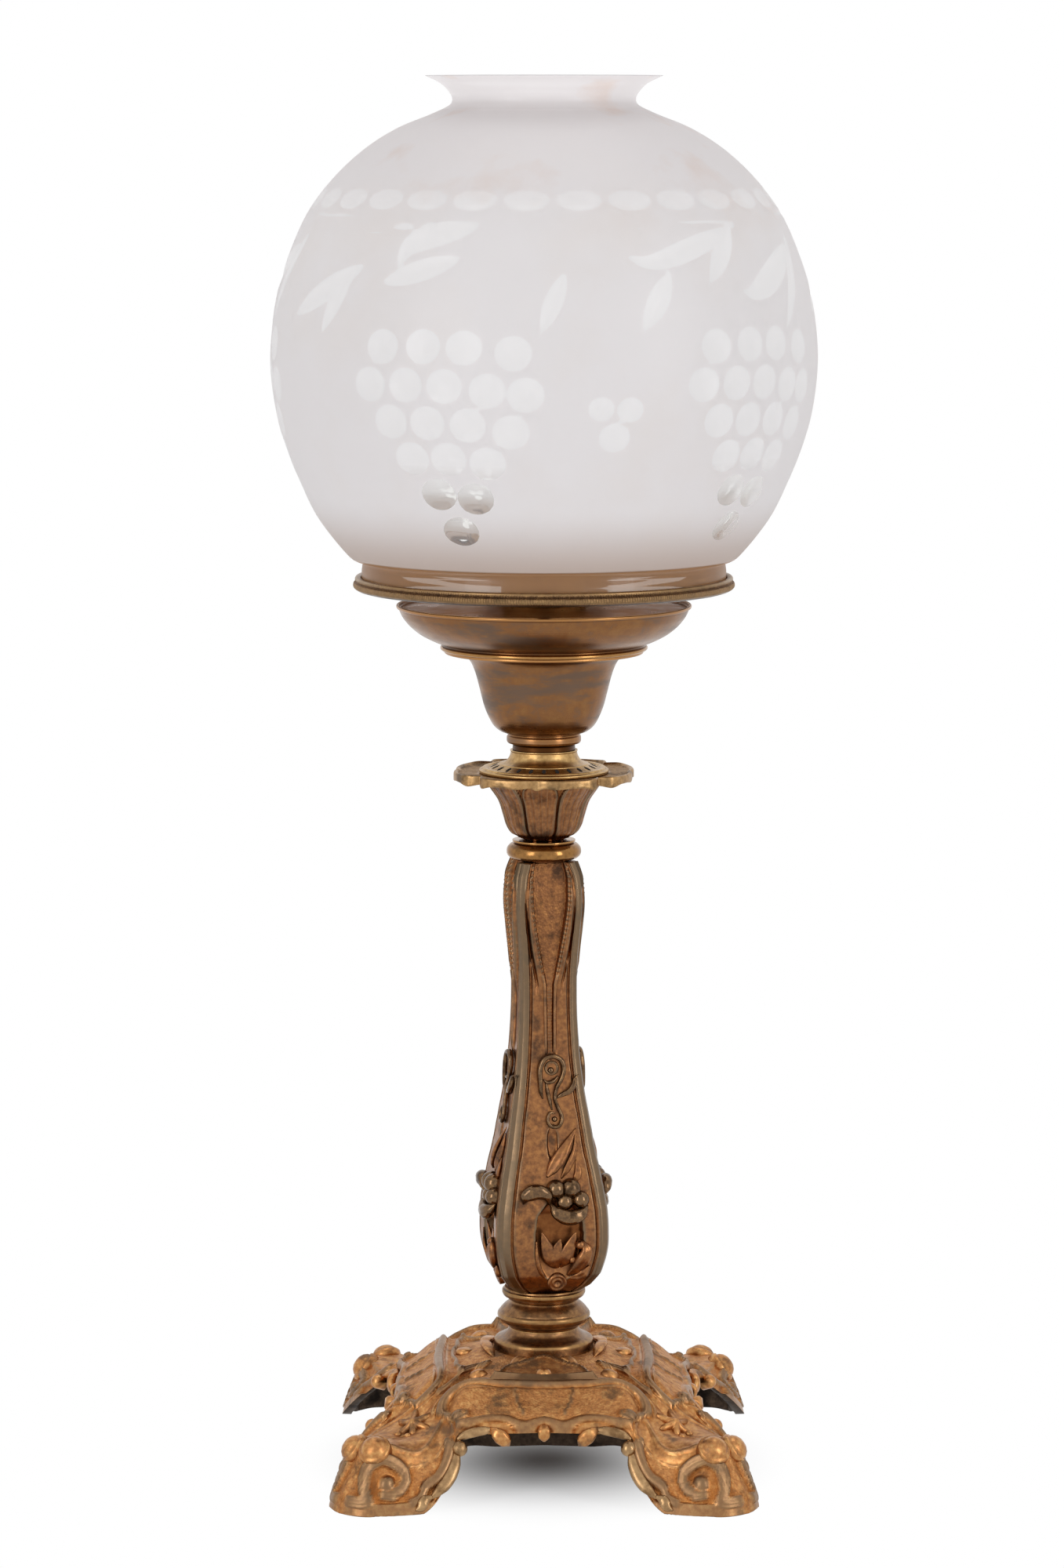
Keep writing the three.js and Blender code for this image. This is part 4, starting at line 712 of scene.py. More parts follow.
base_buttons += [quarter_turn(grid, turn) for turn in (0, 2) for grid in front_grids]
base_ornament = skin("base_ornament", base_buttons, [worn_gilding])
base_rims = skin("base_rims", [quarter_turn(grid, turn) for turn in (0, 2) for grid in front_rims],
                 [rim_brass])
for piece in (base_skin, base_ornament, base_rims):
    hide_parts("base_casting")
    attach(piece, "stand")


# Turned foot
# A scalloped collar, a knop and a stepped flange were turned from cast brass, lacquered, and
# threaded on the tie rod one above the other.

corner_steps = 5
longest_step = 1.0              # of an outline's straight parts, so that wear can end on them


def eased(outline):
    """A closed outline with its corners eased: each row gives a radius, a height and how far
    from the corner its curve starts, at most half way to the next corner. The curve is the
    parabola that touches both sides, and straight parts are cut into short steps."""
    table = np.asarray(outline, float)
    here, ease = table[:, :2], table[:, 2]
    steps_at = np.linspace(0, 1, corner_steps)[:, None]
    back, ahead = np.roll(here, 1, axis=0) - here, np.roll(here, -1, axis=0) - here
    back_length = np.maximum(np.linalg.norm(back, axis=1), 1e-9)
    ahead_length = np.maximum(np.linalg.norm(ahead, axis=1), 1e-9)
    reach = np.minimum(ease, 0.49 * np.minimum(back_length, ahead_length))
    start = here + back * (reach / back_length)[:, None]
    end = here + ahead * (reach / ahead_length)[:, None]
    curve = ((1 - steps_at) ** 2 * start[:, None] + 2 * steps_at * (1 - steps_at) * here[:, None]
             + steps_at ** 2 * end[:, None]).reshape(-1, 2)
    curve = curve[np.linalg.norm(curve - np.roll(curve, 1, axis=0), axis=1) > 1e-5]
    ahead = np.roll(curve, -1, axis=0)
    parts = np.ceil(np.linalg.norm(ahead - curve, axis=1) / longest_step).astype(int)
    return np.concatenate([np.linspace(a, b, n, endpoint=False)
                           for a, b, n in zip(curve, ahead, parts)])


def outline_wear(curve, reach=1.6, height=0.5):
    """Worn and sheltered shares along a closed outline: how far each point stands out from
    the mean of what lies near it along the outline, weighted by that distance."""
    ahead = np.linalg.norm(np.roll(curve, -1, axis=0) - curve, axis=1)
    at = np.concatenate([[0], np.cumsum(ahead)])
    step = (ahead + np.roll(ahead, 1)) / 2
    gap = np.abs(at[:-1, None] - at[None, :-1])
    weight = np.exp(-(np.minimum(gap, at[-1] - gap) / reach) ** 2) * step
    mean = weight @ curve / weight.sum(axis=1, keepdims=True)
    slope = np.roll(curve, -1, axis=0) - np.roll(curve, 1, axis=0)
    normal = np.stack([slope[:, 1], -slope[:, 0]], -1)
    normal /= np.maximum(np.linalg.norm(normal, axis=1, keepdims=True), 1e-9)
    area = (curve[:, 0] * np.roll(curve[:, 1], -1) - np.roll(curve[:, 0], -1) * curve[:, 1]).sum()
    proud = ((curve - mean) * normal).sum(axis=1) * np.sign(area) / height
    return np.clip(proud - 0.15, 0, 1), np.clip(-proud - 0.15, 0, 1)


def carried_round(curve, columns):
    """An outline of radius and height carried round the axis."""
    angle = np.linspace(0, 2 * np.pi, columns, endpoint=False)
    radius, height = curve[:, :1], np.repeat(curve[:, 1:], columns, axis=1)
    return np.stack([radius * np.cos(angle), radius * np.sin(angle), height], -1)


def turned_piece(name, outline, material, nodes, body, columns=160, punched=(0, 0),
                 painted_shade=(0, 0)):
    """A piece off the lathe: its eased outline carried round, worn on its edges. It replaces
    CAD nodes and rides on a body. Punched is the range of heights that is tooled, and the last
    range the heights painted fully in the sheltered colour, as painted shade."""
    curve = eased(outline)
    worn, sheltered = outline_wear(curve)
    # Heights in the painted shade range lose their wear and take the sheltered colour fully: painted
    # shade.
    in_painted_shade = (curve[:, 1] > painted_shade[0]) & (curve[:, 1] < painted_shade[1])
    worn, sheltered = np.where(in_painted_shade, 0, worn), np.where(in_painted_shade, 1.6, sheltered)
    tooled = (curve[:, 1] > punched[0]) & (curve[:, 1] < punched[1])
    finish = np.repeat(np.stack([worn, sheltered, tooled], -1)[:, None], columns, axis=1)
    piece = skin(name, [carried_round(curve, columns)], [material], [finish])
    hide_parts(*nodes)
    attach(piece, body)


# Lacquered brass gone olive and brown: bright only along its turned edges.
old_lacquer = aged_metal("browned_lacquer_brass", "#7c5a3c", "#54402f", "#a0784e", "#b08a54",
                         "#96602e", 0.25, turned=0.5, veil=0.5, level=2.0)
foot_collar_outline = [
    [14, 53.4, 0.2], [23.0, 53.4, 0.3], [23.3, 54.6, 0.3], [23.2, 58.4, 0.4], [22.9, 59.3, 0.4],
    [21.4, 60.2, 1], [19.2, 61.0, 2], [17.3, 62.5, 2], [16.5, 63.9, 1], [16.4, 65, 0.2],
    [14, 65, 0.2],
]
knop_outline = [
    [13, 65.1, 0.2], [16.6, 65.1, 0.2], [16.8, 66, 0.4], [18.6, 66.8, 1], [20.2, 67.7, 1],
    [20.6, 68.6, 0.3], [21.2, 68.9, 0.3], [21.7, 69.9, 0.8], [21.7, 71.3, 0.8], [21.2, 72.1, 0.3],
    [20.7, 72.3, 0.3], [20.5, 73.0, 0.5], [18.6, 75.2, 2], [16.2, 76.8, 1.5], [15.6, 78, 0.4],
    [13, 78, 0.2],
]
flange_outline = [
    [9, 78.1, 0.2], [16.6, 78.1, 0.3], [17.2, 79, 0.5], [18.9, 79.9, 0.6], [19.3, 80.8, 0.3],
    [19.5, 81.2, 0.3], [19.5, 82.6, 0.5], [18.7, 83.0, 0.3], [18.4, 84, 0.4], [9, 84, 0.2],
]
for node, outline in (("foot_collar", foot_collar_outline), ("knop", knop_outline),
                      ("stem_flange", flange_outline)):
    turned_piece(node + "_turned", outline, old_lacquer, [node], "stand")


# Stem
# A hollow square baluster of gilt bronze. Plain straps run up its four cut corners, and each
# face has a punched recess with a beaded edge, a scrolled stalk and leaf, and a flower over a
# niche, all cast in one.

stem_bottom = 84.1
stem_height = 201.9
stem_half = 26.5
stem_yaw = 11.5                 # how the stem has settled on its rod
# Height share, and face distance as a share of the widest.
stem_profile = np.array([
    [0, 0.6], [0.017, 0.747], [0.046, 0.888], [0.1, 0.985], [0.148, 1], [0.2, 0.98],
    [0.235, 0.94], [0.26, 0.905], [0.336, 0.796], [0.39, 0.728], [0.47, 0.632], [0.55, 0.562],
    [0.64, 0.521], [0.725, 0.512], [0.787, 0.53], [0.85, 0.565], [0.91, 0.588], [0.965, 0.556],
    [1, 0.475]])
# Height share, then half width and depth of the face's recess: a niche at the foot, a slot, a
# narrow channel, and a long teardrop at the top.
stem_recess = np.array([
    [0, 0.3, 0], [0.03, 0.5, 0], [0.046, 6, 1.2], [0.07, 9.2, 3.4], [0.1, 10.8, 5.2],
    [0.148, 11, 5.8], [0.19, 10, 4.8], [0.215, 6, 2.0], [0.235, 2, 0.2], [0.26, 0.4, 0],
    [0.31, 0.6, 0.2], [0.33, 2.0, 1.2], [0.35, 2.4, 1.5], [0.375, 2.2, 1.3], [0.39, 1.2, 0.4],
    [0.41, 0.4, 0], [0.54, 0.4, 0], [0.56, 1.2, 0.8], [0.64, 1.2, 0.9], [0.72, 1.5, 0.9],
    [0.75, 2.7, 1.1], [0.787, 4.2, 1.6], [0.834, 5.8, 2.3], [0.88, 7.2, 2.6], [0.91, 7.8, 2.6],
    [0.965, 7.9, 2.4], [1, 6.6, 1.8]])
strap_legs = [[0, 5.4], [0.25, 5.4], [0.6, 4.2], [1, 3.6]]   # a corner's cut, by height share
stem_rows, stem_face_columns, stem_cut_columns = 290, 84, 20
stem_wall = 6.6
bead_pitch, hatch_pitch = 2.2, 1.3
niche_shift, niche_top = 2.2, 52            # the niche stands a little right of the middle
# Heights above the stem's foot: where the long drop's edge line and hatching start, where the
# band outside it starts, where the hatching ends, and where beads and punched ground start.
drop_foot, band_foot, hatch_top, bead_foot = 112, 140, 145, 150

stem_up = np.linspace(0, 1, stem_rows)
stem_place = np.interp(stem_up, stem_profile[:, 0], np.arange(len(stem_profile)))
stem_face = curve_through(stem_profile[:, 1], stem_place) * stem_half
strap_leg = np.interp(stem_up, *np.array(strap_legs).T)
recess_half, recess_depth = (np.interp(stem_up, stem_recess[:, 0], stem_recess[:, column])
                             for column in (1, 2))


def face_distance(height):
    """How far a face stands from the axis at heights above the stem's foot."""
    return np.interp(height, stem_up * stem_height, stem_face)


def stem_relief(across, up, half, deep):
    """Relief of one face: a sunk ground within a half width that changes with height, a
    beaded line along its edge, then a smooth band and a quirk outside that."""
    across = across - niche_shift * np.clip((niche_top - up) / 8, 0, 1)
    inside = half - np.abs(across)
    height = ledge(inside, 0.9, -deep)
    beads = 0.6 + 0.4 * np.cos(2 * np.pi * up / bead_pitch)
    upper = np.clip((up - drop_foot) / 6, 0, 1)
    high = np.clip((up - band_foot) / 14, 0, 1)
    height += ridge(np.abs(inside + 0.9), 0.9, 1.2) * upper * (1 + (up > bead_foot) * (beads - 1))
    height += ridge(np.abs(inside + 2.6), 1.5, 1.7) * high
    height -= ridge(np.abs(inside + 4.4), 0.7, 1.2) * high
    hatching = 0.35 * np.cos(2 * np.pi * up / hatch_pitch)
    height += hatching * (inside > 0.2) * (up > drop_foot) * (up < hatch_top)
    return height, (inside > 0.5) & (up > bead_foot)


def stem_section(face, up, half, deep, leg):
    """One face and the cut corner to its right, from the corner on its left: points across
    the face at its distance, then along the cut. Relief stands out of the face, and the cut
    corner is a strap with a groove on each side."""
    room = (face - leg)[:, None]
    across = np.linspace(-1, 1, stem_face_columns) * room
    height, punched = stem_relief(across, up[:, None], half[:, None], deep[:, None])
    height = height - ridge(room - 0.8 - np.abs(across), 0.8, 1.2)
    flat = np.stack([across, -(face[:, None] + height),
                     np.broadcast_to(up[:, None], across.shape)], -1)
    part = np.linspace(0, 1, stem_cut_columns + 2)[1:-1]
    bulge = 1.3 * np.minimum(part / 0.58, (1 - part) / 0.42) ** 0.7
    bulge = (bulge - 0.4 * np.exp(-((part - 0.14) / 0.04) ** 2)) * np.sqrt(0.5)
    x = room + part * leg[:, None] + bulge
    y = -(face[:, None] - part * leg[:, None]) - bulge
    cut = np.stack([x, y, np.broadcast_to(up[:, None], x.shape)], -1)
    relief = np.concatenate([height, np.broadcast_to(bulge, x.shape)], axis=1)
    tooled = np.concatenate([punched, np.zeros(x.shape)], axis=1)
    strap = np.concatenate([np.zeros(height.shape), np.ones(x.shape)], axis=1)
    return np.concatenate([flat, cut], axis=1), relief, tooled, strap


stem_quarter, stem_lift, stem_tooled, stem_strap = stem_section(
    stem_face, stem_up * stem_height, recess_half, recess_depth, strap_leg)
stem_outer = np.concatenate([quarter_turn(stem_quarter, i, stem_yaw) for i in range(4)], axis=1)
stem_outer[..., 2] += stem_bottom
stem_lift, stem_tooled, stem_strap = (np.tile(field, (1, 4))
                                      for field in (stem_lift, stem_tooled, stem_strap))
bore_rows = np.linspace(stem_rows - 1, 0, 12).astype(int)
stem_bore = stem_outer[bore_rows].copy()
bore_reach = np.hypot(stem_bore[..., 0], stem_bore[..., 1])
stem_bore[..., :2] *= ((stem_face[bore_rows] - stem_wall)[:, None] / bore_reach)[..., None]
stem_worn, stem_sheltered = wear_of(stem_lift, 8, 0.5)
stem_worn = np.maximum(stem_worn * (1 - 0.5 * stem_tooled), stem_strap)
# The deepest recess, the niche, is painted fully in the dark sheltered colour, as painted shade.
stem_niche_shade = np.clip((-stem_lift - 2.6) / 2, 0, 1)
stem_sheltered = np.maximum(stem_sheltered * (1 - 0.7 * stem_tooled), stem_niche_shade)
stem_finish = np.concatenate([np.stack([stem_worn, stem_sheltered, stem_tooled], -1),
                              np.zeros(stem_bore.shape)])
# The stem's gilding is browner than the base's, where lamp oil ran down and was wiped off.
# Its dark sheltered colour is painted shade in the recesses, over the gilding kept there.
stem_gilding = aged_metal("oil_browned_gilding", "#855a3b", "#543d2e", "#a87648", "#70604c",
                          "#6c3c18", 0.27, blotch=11, veil=0.5)
# The flower and the scrolls stand proud, so hands have rubbed them dark and glossy.
rubbed_gilding = aged_metal("rubbed_dark_gilding", "#6a533e", "#463526", "#8c6c49", "#8c7558",
                            "#4c2c14", 0.12, blotch=7, speck=1.6)
stem_skin = skin("stem_casting_skin", [np.concatenate([stem_outer, stem_bore])], [stem_gilding],
                 [stem_finish])


def on_face(points):
    """Places on the stem's front face: across it, above the stem's foot, and how far they
    stand proud of it, turned into points."""
    across, up, proud = np.asarray(points, float).T
    return np.stack([across, -(face_distance(up) + proud), up + stem_bottom], -1)


def ball(x, z, radius, proud, lift=0.0):
    """A round glossy bud standing on the face."""
    return rosette(on_face([[x, z, lift]])[0], [0, -1, 0.1], dome(radius, proud, 3), columns=24)


def face_rod(points, wide, thick, out=(0, -1, 0), groove=0.0, columns=14, steps=26):
    """A cast rod along places on the face."""
    return cast_rod(on_face(points), wide, thick, out, groove, columns, steps)


leaf_law = [0.3, 2.2, 3.5, 3.9, 3.2, 1.9, 0.2]
stem_rubbed_parts = [
    # The looped scroll, which runs down as a thin stalk into the small curl.
    face_rod([[-4.0, 92.3, 0.2], [-4.9, 95.5, 0.8], [-5.1, 100.5, 1.3], [-5.2, 106.2, 1.6],
              [-3.0, 110.8, 1.8], [1.0, 112.0, 1.8], [5.0, 109.8, 1.7], [6.0, 105.4, 1.6],
              [4.6, 101.0, 1.4], [2.4, 97.0, 1.2], [1.6, 92.5, 1.1], [3.0, 88.0, 1.2],
              [4.6, 83.8, 1.3], [3.2, 79.9, 1.3], [-0.4, 79.6, 1.2], [-2.2, 82.6, 1.1],
              [-1.0, 85.8, 1.0], [1.4, 85.6, 0.9]],
             [0.3, 0.9, 1.1, 1.2, 1.2, 1.2, 1.2, 1.1, 1.0, 0.9, 0.8, 0.8, 0.9, 0.9, 0.9, 0.8, 0.7,
              0.3],
             [0.3, 1.2, 1.4, 1.5, 1.5, 1.5, 1.4, 1.3, 1.1, 1.0, 1.0, 1.0, 1.1, 1.1, 1.1, 1.0, 0.8,
              0.3],
             columns=12, steps=80),
    face_rod([[-2.4, 100.6, 0.6], [-1.8, 96, 0.8], [-0.8, 91, 0.8], [0.2, 87, 0.5]],
             [0.3, 0.8, 0.8, 0.3], [0.3, 0.9, 0.9, 0.3]),
    face_rod([[-3.6, 101.2, 0.8], [-1.6, 99.8, 1.0], [1.0, 100.4, 1.0], [3.4, 102.6, 0.9]],
             [0.3, 0.9, 0.9, 0.3], [0.3, 1.1, 1.1, 0.3]),
    face_rod([[2.2, 92.4, 0.4], [5.0, 94.0, 1.1], [8.4, 95.6, 1.4], [10.6, 98.6, 1.5],
              [11.4, 101.6, 1.4], [13.2, 103.0, 1.2]],
             [0.3, 1.1, 1.4, 1.3, 0.9, 0.3], [0.3, 1.2, 1.5, 1.4, 1.1, 0.3], groove=0.3),
    rosette(on_face([[0.5, 106.2, -0.6]])[0], [0, -1, 0.1],
            [[0, -0.3], [1.6, 0.1], [2.6, 0.9], [3.4, 1.0], [3.6, -1.5], [0, -1.5]], columns=28),
    ball(0.1, 105.2, 1.5, 1.1), ball(1.2, 82.8, 1.3, 1.2, 0.3),
    # The flower: a bean-shaped petal, round buds and a folded lip.
    face_rod([[-14.8, 44.6, 0.0], [-13.4, 48.6, 1.8], [-9.0, 50.6, 3.0], [-4.2, 48.8, 2.8],
              [-2.4, 43.6, 1.2]],
             [0.3, 3.0, 3.8, 3.5, 2.6, 0.3], [0.4, 2.8, 3.4, 3.2, 2.4, 0.3], groove=0.1,
             columns=20),
    ball(0.6, 51.0, 4.6, 4.8, 0.6), ball(7.6, 51.2, 4.8, 5.0, 0.6), ball(12.0, 45.8, 4.3, 4.6, 0.4),
    ball(4.6, 45.2, 4.2, 4.0, 0.8),
    face_rod([[-2.4, 45.0, 0.6], [0.8, 40.4, 2.4], [6.0, 38.2, 3.0], [11.4, 39.4, 2.6],
              [15.6, 43.0, 0.6]],
             [0.3, 2.8, 3.6, 3.6, 2.8, 0.3], [0.4, 2.6, 3.2, 3.2, 2.6, 0.3], groove=0.15,
             columns=20),
]
stem_ornament_parts = [
    # The twisted leaf over the flower, its fold, and the small leaf beside it.
    face_rod([[-3.4, 56.4, 0.2], [0.6, 62.5, 1.6], [5.2, 69.5, 2.0], [11.2, 78.4, 0.6]],
             [0.4, 2.6, 3.3, 3.0, 1.7, 0.2], [0.3, 1.5, 1.8, 1.6, 1.0, 0.2], [-0.5, -1, 0.2],
             0.5, 20),
    face_rod([[3.4, 55.6, 0.2], [7.0, 61.5, 0.9], [10.2, 68.5, 0.9], [10.6, 75.5, 0.4]],
             [0.4, 1.9, 2.0, 1.2, 0.2], [0.3, 1.2, 1.3, 0.8, 0.2], [0.5, -1, 0], 0.4, 16),
    face_rod([[9.0, 53.0, 0.2], [11.4, 58.0, 0.8], [10.8, 64.0, 0.3]],
             [0.3, 1.9, 1.6, 0.2], [0.3, 1.1, 0.9, 0.2], groove=0.3, columns=16),
    # The fleur in the niche, the foliage beside it, and the spiral scroll at the foot.
    face_rod([[2, 12, -3.6], [-2.4, 20, -2.2], [-6.2, 31.0, -0.6]],
             leaf_law, [0.3, 1.4, 1.8, 1.6, 1.0, 0.3], groove=0.4),
    face_rod([[2, 12, -3.4], [1.0, 19, -2.4], [2.8, 27.4, -1.6]],
             leaf_law, [0.3, 1.4, 1.8, 1.6, 1.0, 0.3], groove=0.4),
    face_rod([[3.5, 13, -3.2], [6.4, 20, -1.6], [9.8, 30.6, -0.4]],
             leaf_law, [0.3, 1.2, 1.6, 1.4, 0.9, 0.3], groove=0.4),
    ball(11.8, 24.6, 2.2, 2.2, 0.6), ball(14.6, 18.6, 2.0, 1.8, 1.0),
    ball(8.8, 17.2, 1.8, 1.6, -0.6),
    face_rod([[6.4, 9.6, -0.6], [11.0, 14.4, 0.9], [14.6, 21.4, 1.6], [12.4, 26.4, 0.6]],
             [0.3, 2.6, 3.6, 2.8, 0.4], [0.3, 1.9, 2.6, 2.0, 0.3], [0.3, -1, 0], 0.35, 18),
    face_rod([[7.2, 8.2, -0.6], [12.4, 9.8, 0.6], [16.4, 14.0, 0.9]],
             [0.3, 2.0, 2.6, 0.4], [0.3, 1.5, 1.9, 0.3], [0.3, -1, 0], 0.35, 18),
    face_rod([[-3.2, 7.4, -0.6], [-6.6, 12.4, 0.3], [-8.6, 19.4, 0.6], [-9.0, 27, 0.4]],
             [0.3, 1.1, 1.1, 0.8, 0.3], [0.3, 0.9, 0.9, 0.7, 0.3]),
    rosette(on_face([[1.8, 6.6, -1.2]])[0], [0, -1, -0.35],
            [[0, 1.0], [1.0, 1.1], [1.5, 2.4], [2.3, 2.4], [2.8, 1.6], [3.4, 2.4], [4.3, 2.2],
             [4.6, 0.6], [4.6, -3], [0, -3]], columns=40),
]
stem_pieces = [stem_skin]
for name, parts, finish in (("stem_ornament", stem_ornament_parts, stem_gilding),
                            ("stem_flowers", stem_rubbed_parts, rubbed_gilding)):
    grids = [quarter_turn(grid, turn, stem_yaw) for turn in range(4) for grid in parts]
    stem_pieces.append(skin(name, grids, [finish]))
for piece in stem_pieces:
    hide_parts("stem")
    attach(piece, "stand")


# Capital
# A bright polished ring, a cup of eight leaves and a four-eared plate, cast and gilt, sit on
# the stem's top under the air inlet.

# Gilding that was burnished with agate and stayed bright: mirror-like gold.
burnished_gilding = aged_metal("burnished_gilding", "#8a6238", "#5a3e22", "#a27644", "#a87e4c",
                               "#5c3a1c", 0.12, turned=0.15, veil=0.35, level=3.0)
torus_outline = [[8, 286.1, 0.2], [13.2, 286.1, 0.3], [15.6, 286.9, 2], [17.3, 288.6, 2],
                 [17.3, 291.6, 2], [15.4, 293.6, 2], [13.6, 294.1, 0.2], [13.5, 294.5, 0.2],
                 [14.6, 294.6, 0.2], [14.6, 295.4, 0.2], [8, 295.5, 0.2]]
turned_piece("torus_ring_turned", torus_outline, burnished_gilding, ["torus_ring"], "stand")

capital_yaw = -4.5
cup_bottom = 295.6
cup_outline = np.array([[10.8, 0], [11.3, 1.4], [14.6, 3.2], [16.9, 6.6], [18.4, 11.6],
                        [20.6, 18.2], [24.6, 24.2], [27, 28.4]])
cup_wall = 1.6                  # of the ground between the leaves, under the outline
cup_rows, cup_columns, cup_leaves = 90, 384, 8
leaf_edges = [[0, 0.72], [0.12, 0.8], [0.3, 0.9], [0.6, 0.95], [0.8, 0.93], [0.9, 0.82],
              [0.96, 0.6], [1, 0.3]]


def capital_cup():
    """The cup's outline carried round, with eight leaves standing out of it. At each height a
    leaf covers a share of its eighth, its edge is a raised line, and three veins run up it."""
    share = np.linspace(0, 1, cup_rows)[:, None]
    side = curve_through(cup_outline, np.linspace(0, len(cup_outline) - 1, cup_rows))
    angle = np.linspace(0, 2 * np.pi, cup_columns, endpoint=False)[None]
    across = np.abs((angle * cup_leaves / (2 * np.pi) + 0.5) % 1 * 2 - 1)
    table = np.array(leaf_edges)
    cover = np.interp(share, table[:, 0], table[:, 1])
    width = side[:, :1] * np.pi / cup_leaves
    inside = (cover - across) * width
    height = ledge(inside, 0.5, 1.5) + ridge(inside - 0.8, 0.8, 0.7)
    height -= ridge(across * width, 0.5, 0.45) + ridge((across - 0.42) * width, 0.45, 0.4)
    height += 0.8 * (1 - np.clip(across / np.maximum(cover, 0.1), 0, 1) ** 2) * (share > 0.08)
    height *= np.clip(share / 0.1, 0, 1)
    radius = side[:, :1] - cup_wall + height
    outer = np.stack([radius * np.cos(angle), radius * np.sin(angle),
                      np.broadcast_to(side[:, 1:] + cup_bottom, radius.shape)], -1)
    worn, sheltered = wear_of(height, 6, 0.4)
    # The ground between the leaves takes the dark sheltered colour, as painted shade.
    sheltered = np.clip(sheltered + (inside < -0.3) * 0.8, 0, 1)
    return outer, np.stack([worn, sheltered, np.zeros(worn.shape)], -1)


cup_outer, cup_finish = capital_cup()
cup_inner = carried_round(np.array([[24.4, 324], [21.6, 319], [16.4, 311], [13, 302], [7.6, 297],
                                    [7.6, 295.6]]), cup_columns)
cup_grid = quarter_turn(np.concatenate([cup_outer, cup_inner]), 0, capital_yaw)
cup_skin = skin("capital_cup_skin", [cup_grid], [stem_gilding],
                [np.concatenate([cup_finish, np.zeros(cup_inner.shape)])])

plate_top, plate_bore = 326.5, 24.4
plate_line, plate_columns = 76, 480         # points along a section, and round the plate
cusp_half, wave_at, ear_end = 3.0, 13, 38   # degrees from the middle of an ear
# Degrees from the middle of an ear, and how far out its edge reaches.
ear_edge = np.array([[0, 40.3], [3, 40.7], [6, 41.5], [13, 42.2], [20, 42.7], [28, 43.1],
                     [34, 43.2], [38.5, 42.4], [42, 40.6], [45, 38.2]])
# Rows of the plate: share of the way from the bore to the edge, height, and punched share.
plate_rows = [[0, 0, 0], [0.3, 0, 0], [0.42, 0.1, 1], [0.6, 0.2, 1], [0.76, 0.4, 1], [0.86, 0.6, 1],
              [0.9, 1.1, 0], [0.93, 1.5, 0], [0.965, 1.5, 0], [0.99, 1.1, 0], [1, 0.4, 0],
              [1, -0.6, 0], [1, -1.5, 0], [0.99, -2.1, 0], [0.965, -2.2, 0], [0.94, -2.0, 0],
              [0.9, -1.6, 0], [0.6, -1.9, 0], [0.3, -2.4, 0], [0, -2.4, 0]]


def capital_plate():
    """The plate's rows carried round at a share of the way from its bore to its edge, which
    bulges into an ear on each side. The turned-down edge hangs lower in a soft wave with a
    cusp in the middle of each ear, and lower still where an ear ends."""
    table = smooth_path(np.array(plate_rows, float), plate_line)
    angle = np.linspace(0, 2 * np.pi, plate_columns, endpoint=False)[None]
    off = np.abs((np.degrees(angle) + 45) % 90 - 45)
    edge = np.interp(off, ear_edge[:, 0], ear_edge[:, 1])
    radius = plate_bore + table[:, :1] * (edge - plate_bore)
    rim = np.clip((table[:, :1] - 0.55) / 0.45, 0, 1)
    under = table[:, 1:2] < 0
    tip = np.exp(-((off - ear_end) / 5) ** 2)
    wave = 1.3 * (np.exp(-(off / cusp_half) ** 2) + tip)
    wave += 0.7 * np.exp(-((off - wave_at) / 6) ** 2)
    z = plate_top + table[:, 1:2] - wave * rim * under + 0.3 * tip * rim * ~under
    worn, sheltered = wear_of(np.broadcast_to(table[:, 1:2] * rim, radius.shape), 3, 0.5)
    finish = np.stack([worn, sheltered, np.broadcast_to(table[:, 2:], radius.shape)], -1)
    return np.stack([radius * np.cos(angle), radius * np.sin(angle),
                     np.broadcast_to(z, radius.shape)], -1), finish


# The plate's gilding has gone olive, and its edge is rubbed to brass.
plate_gilding = aged_metal("olive_worn_gilding", "#a17e54", "#6c563c", "#c09c6e", "#c8a678",
                           "#86562e", 0.28)
plate_grid, plate_finish = capital_plate()
plate_skin = skin("capital_plate_skin", [quarter_turn(plate_grid, 0, capital_yaw)], [plate_gilding],
                  [plate_finish])
for piece, node in ((cup_skin, "capital_cup"), (plate_skin, "capital_plate")):
    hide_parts(node)
    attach(piece, "stand")


# Air inlet
# A shallow brass dish with a row of radial slots lets air up inside the burner, and a turned
# cone screwed down on it carries the font.

# Brass dulled to olive by heat and fumes, with gold showing through on its curves.
olive_brass = aged_metal("olive_dulled_brass", "#b08c5a", "#7c6240", "#d0ac74", "#c4a26e",
                         "#6a4822", 0.25, blotch=18, turned=0.5, veil=0.4, level=2.0)
dish_outline = [
    [3.4, 326.6, 0.1], [29.4, 326.6, 0.3], [30, 327.1, 0.3], [30, 328.1, 0.4], [29.4, 328.5, 0.3],
    [28.7, 328.6, 0.2], [28.6, 329.0, 0.2], [28, 329.4, 0.3], [27, 329.4, 0.3], [26.3, 329.0, 0.2],
    [25.9, 328.6, 0.2], [20.9, 330.7, 0.3], [3.4, 330.7, 0.1],
]
turned_piece("air_dish_turned", dish_outline, olive_brass, ["air_dish"], "stand")
slot_count, slot_half = 24, 0.85
slot_inner, slot_outer = [21.3, 0, 330.6], [25.0, 0, 329.06]   # ends of a slot's dark floor
# The slots are cut right through, and the eye sees only the dark inside of the dish in them.
dark_slot, dark_slot_tree = new_material("shadow_in_a_slot")
dark_inside = add(dark_slot_tree, "ShaderNodeBsdfPrincipled",
                  {"Base Color": linear("#1c120a"), "Roughness": 0.9})
add(dark_slot_tree, "ShaderNodeOutputMaterial", {"Surface": dark_inside.outputs[0]})


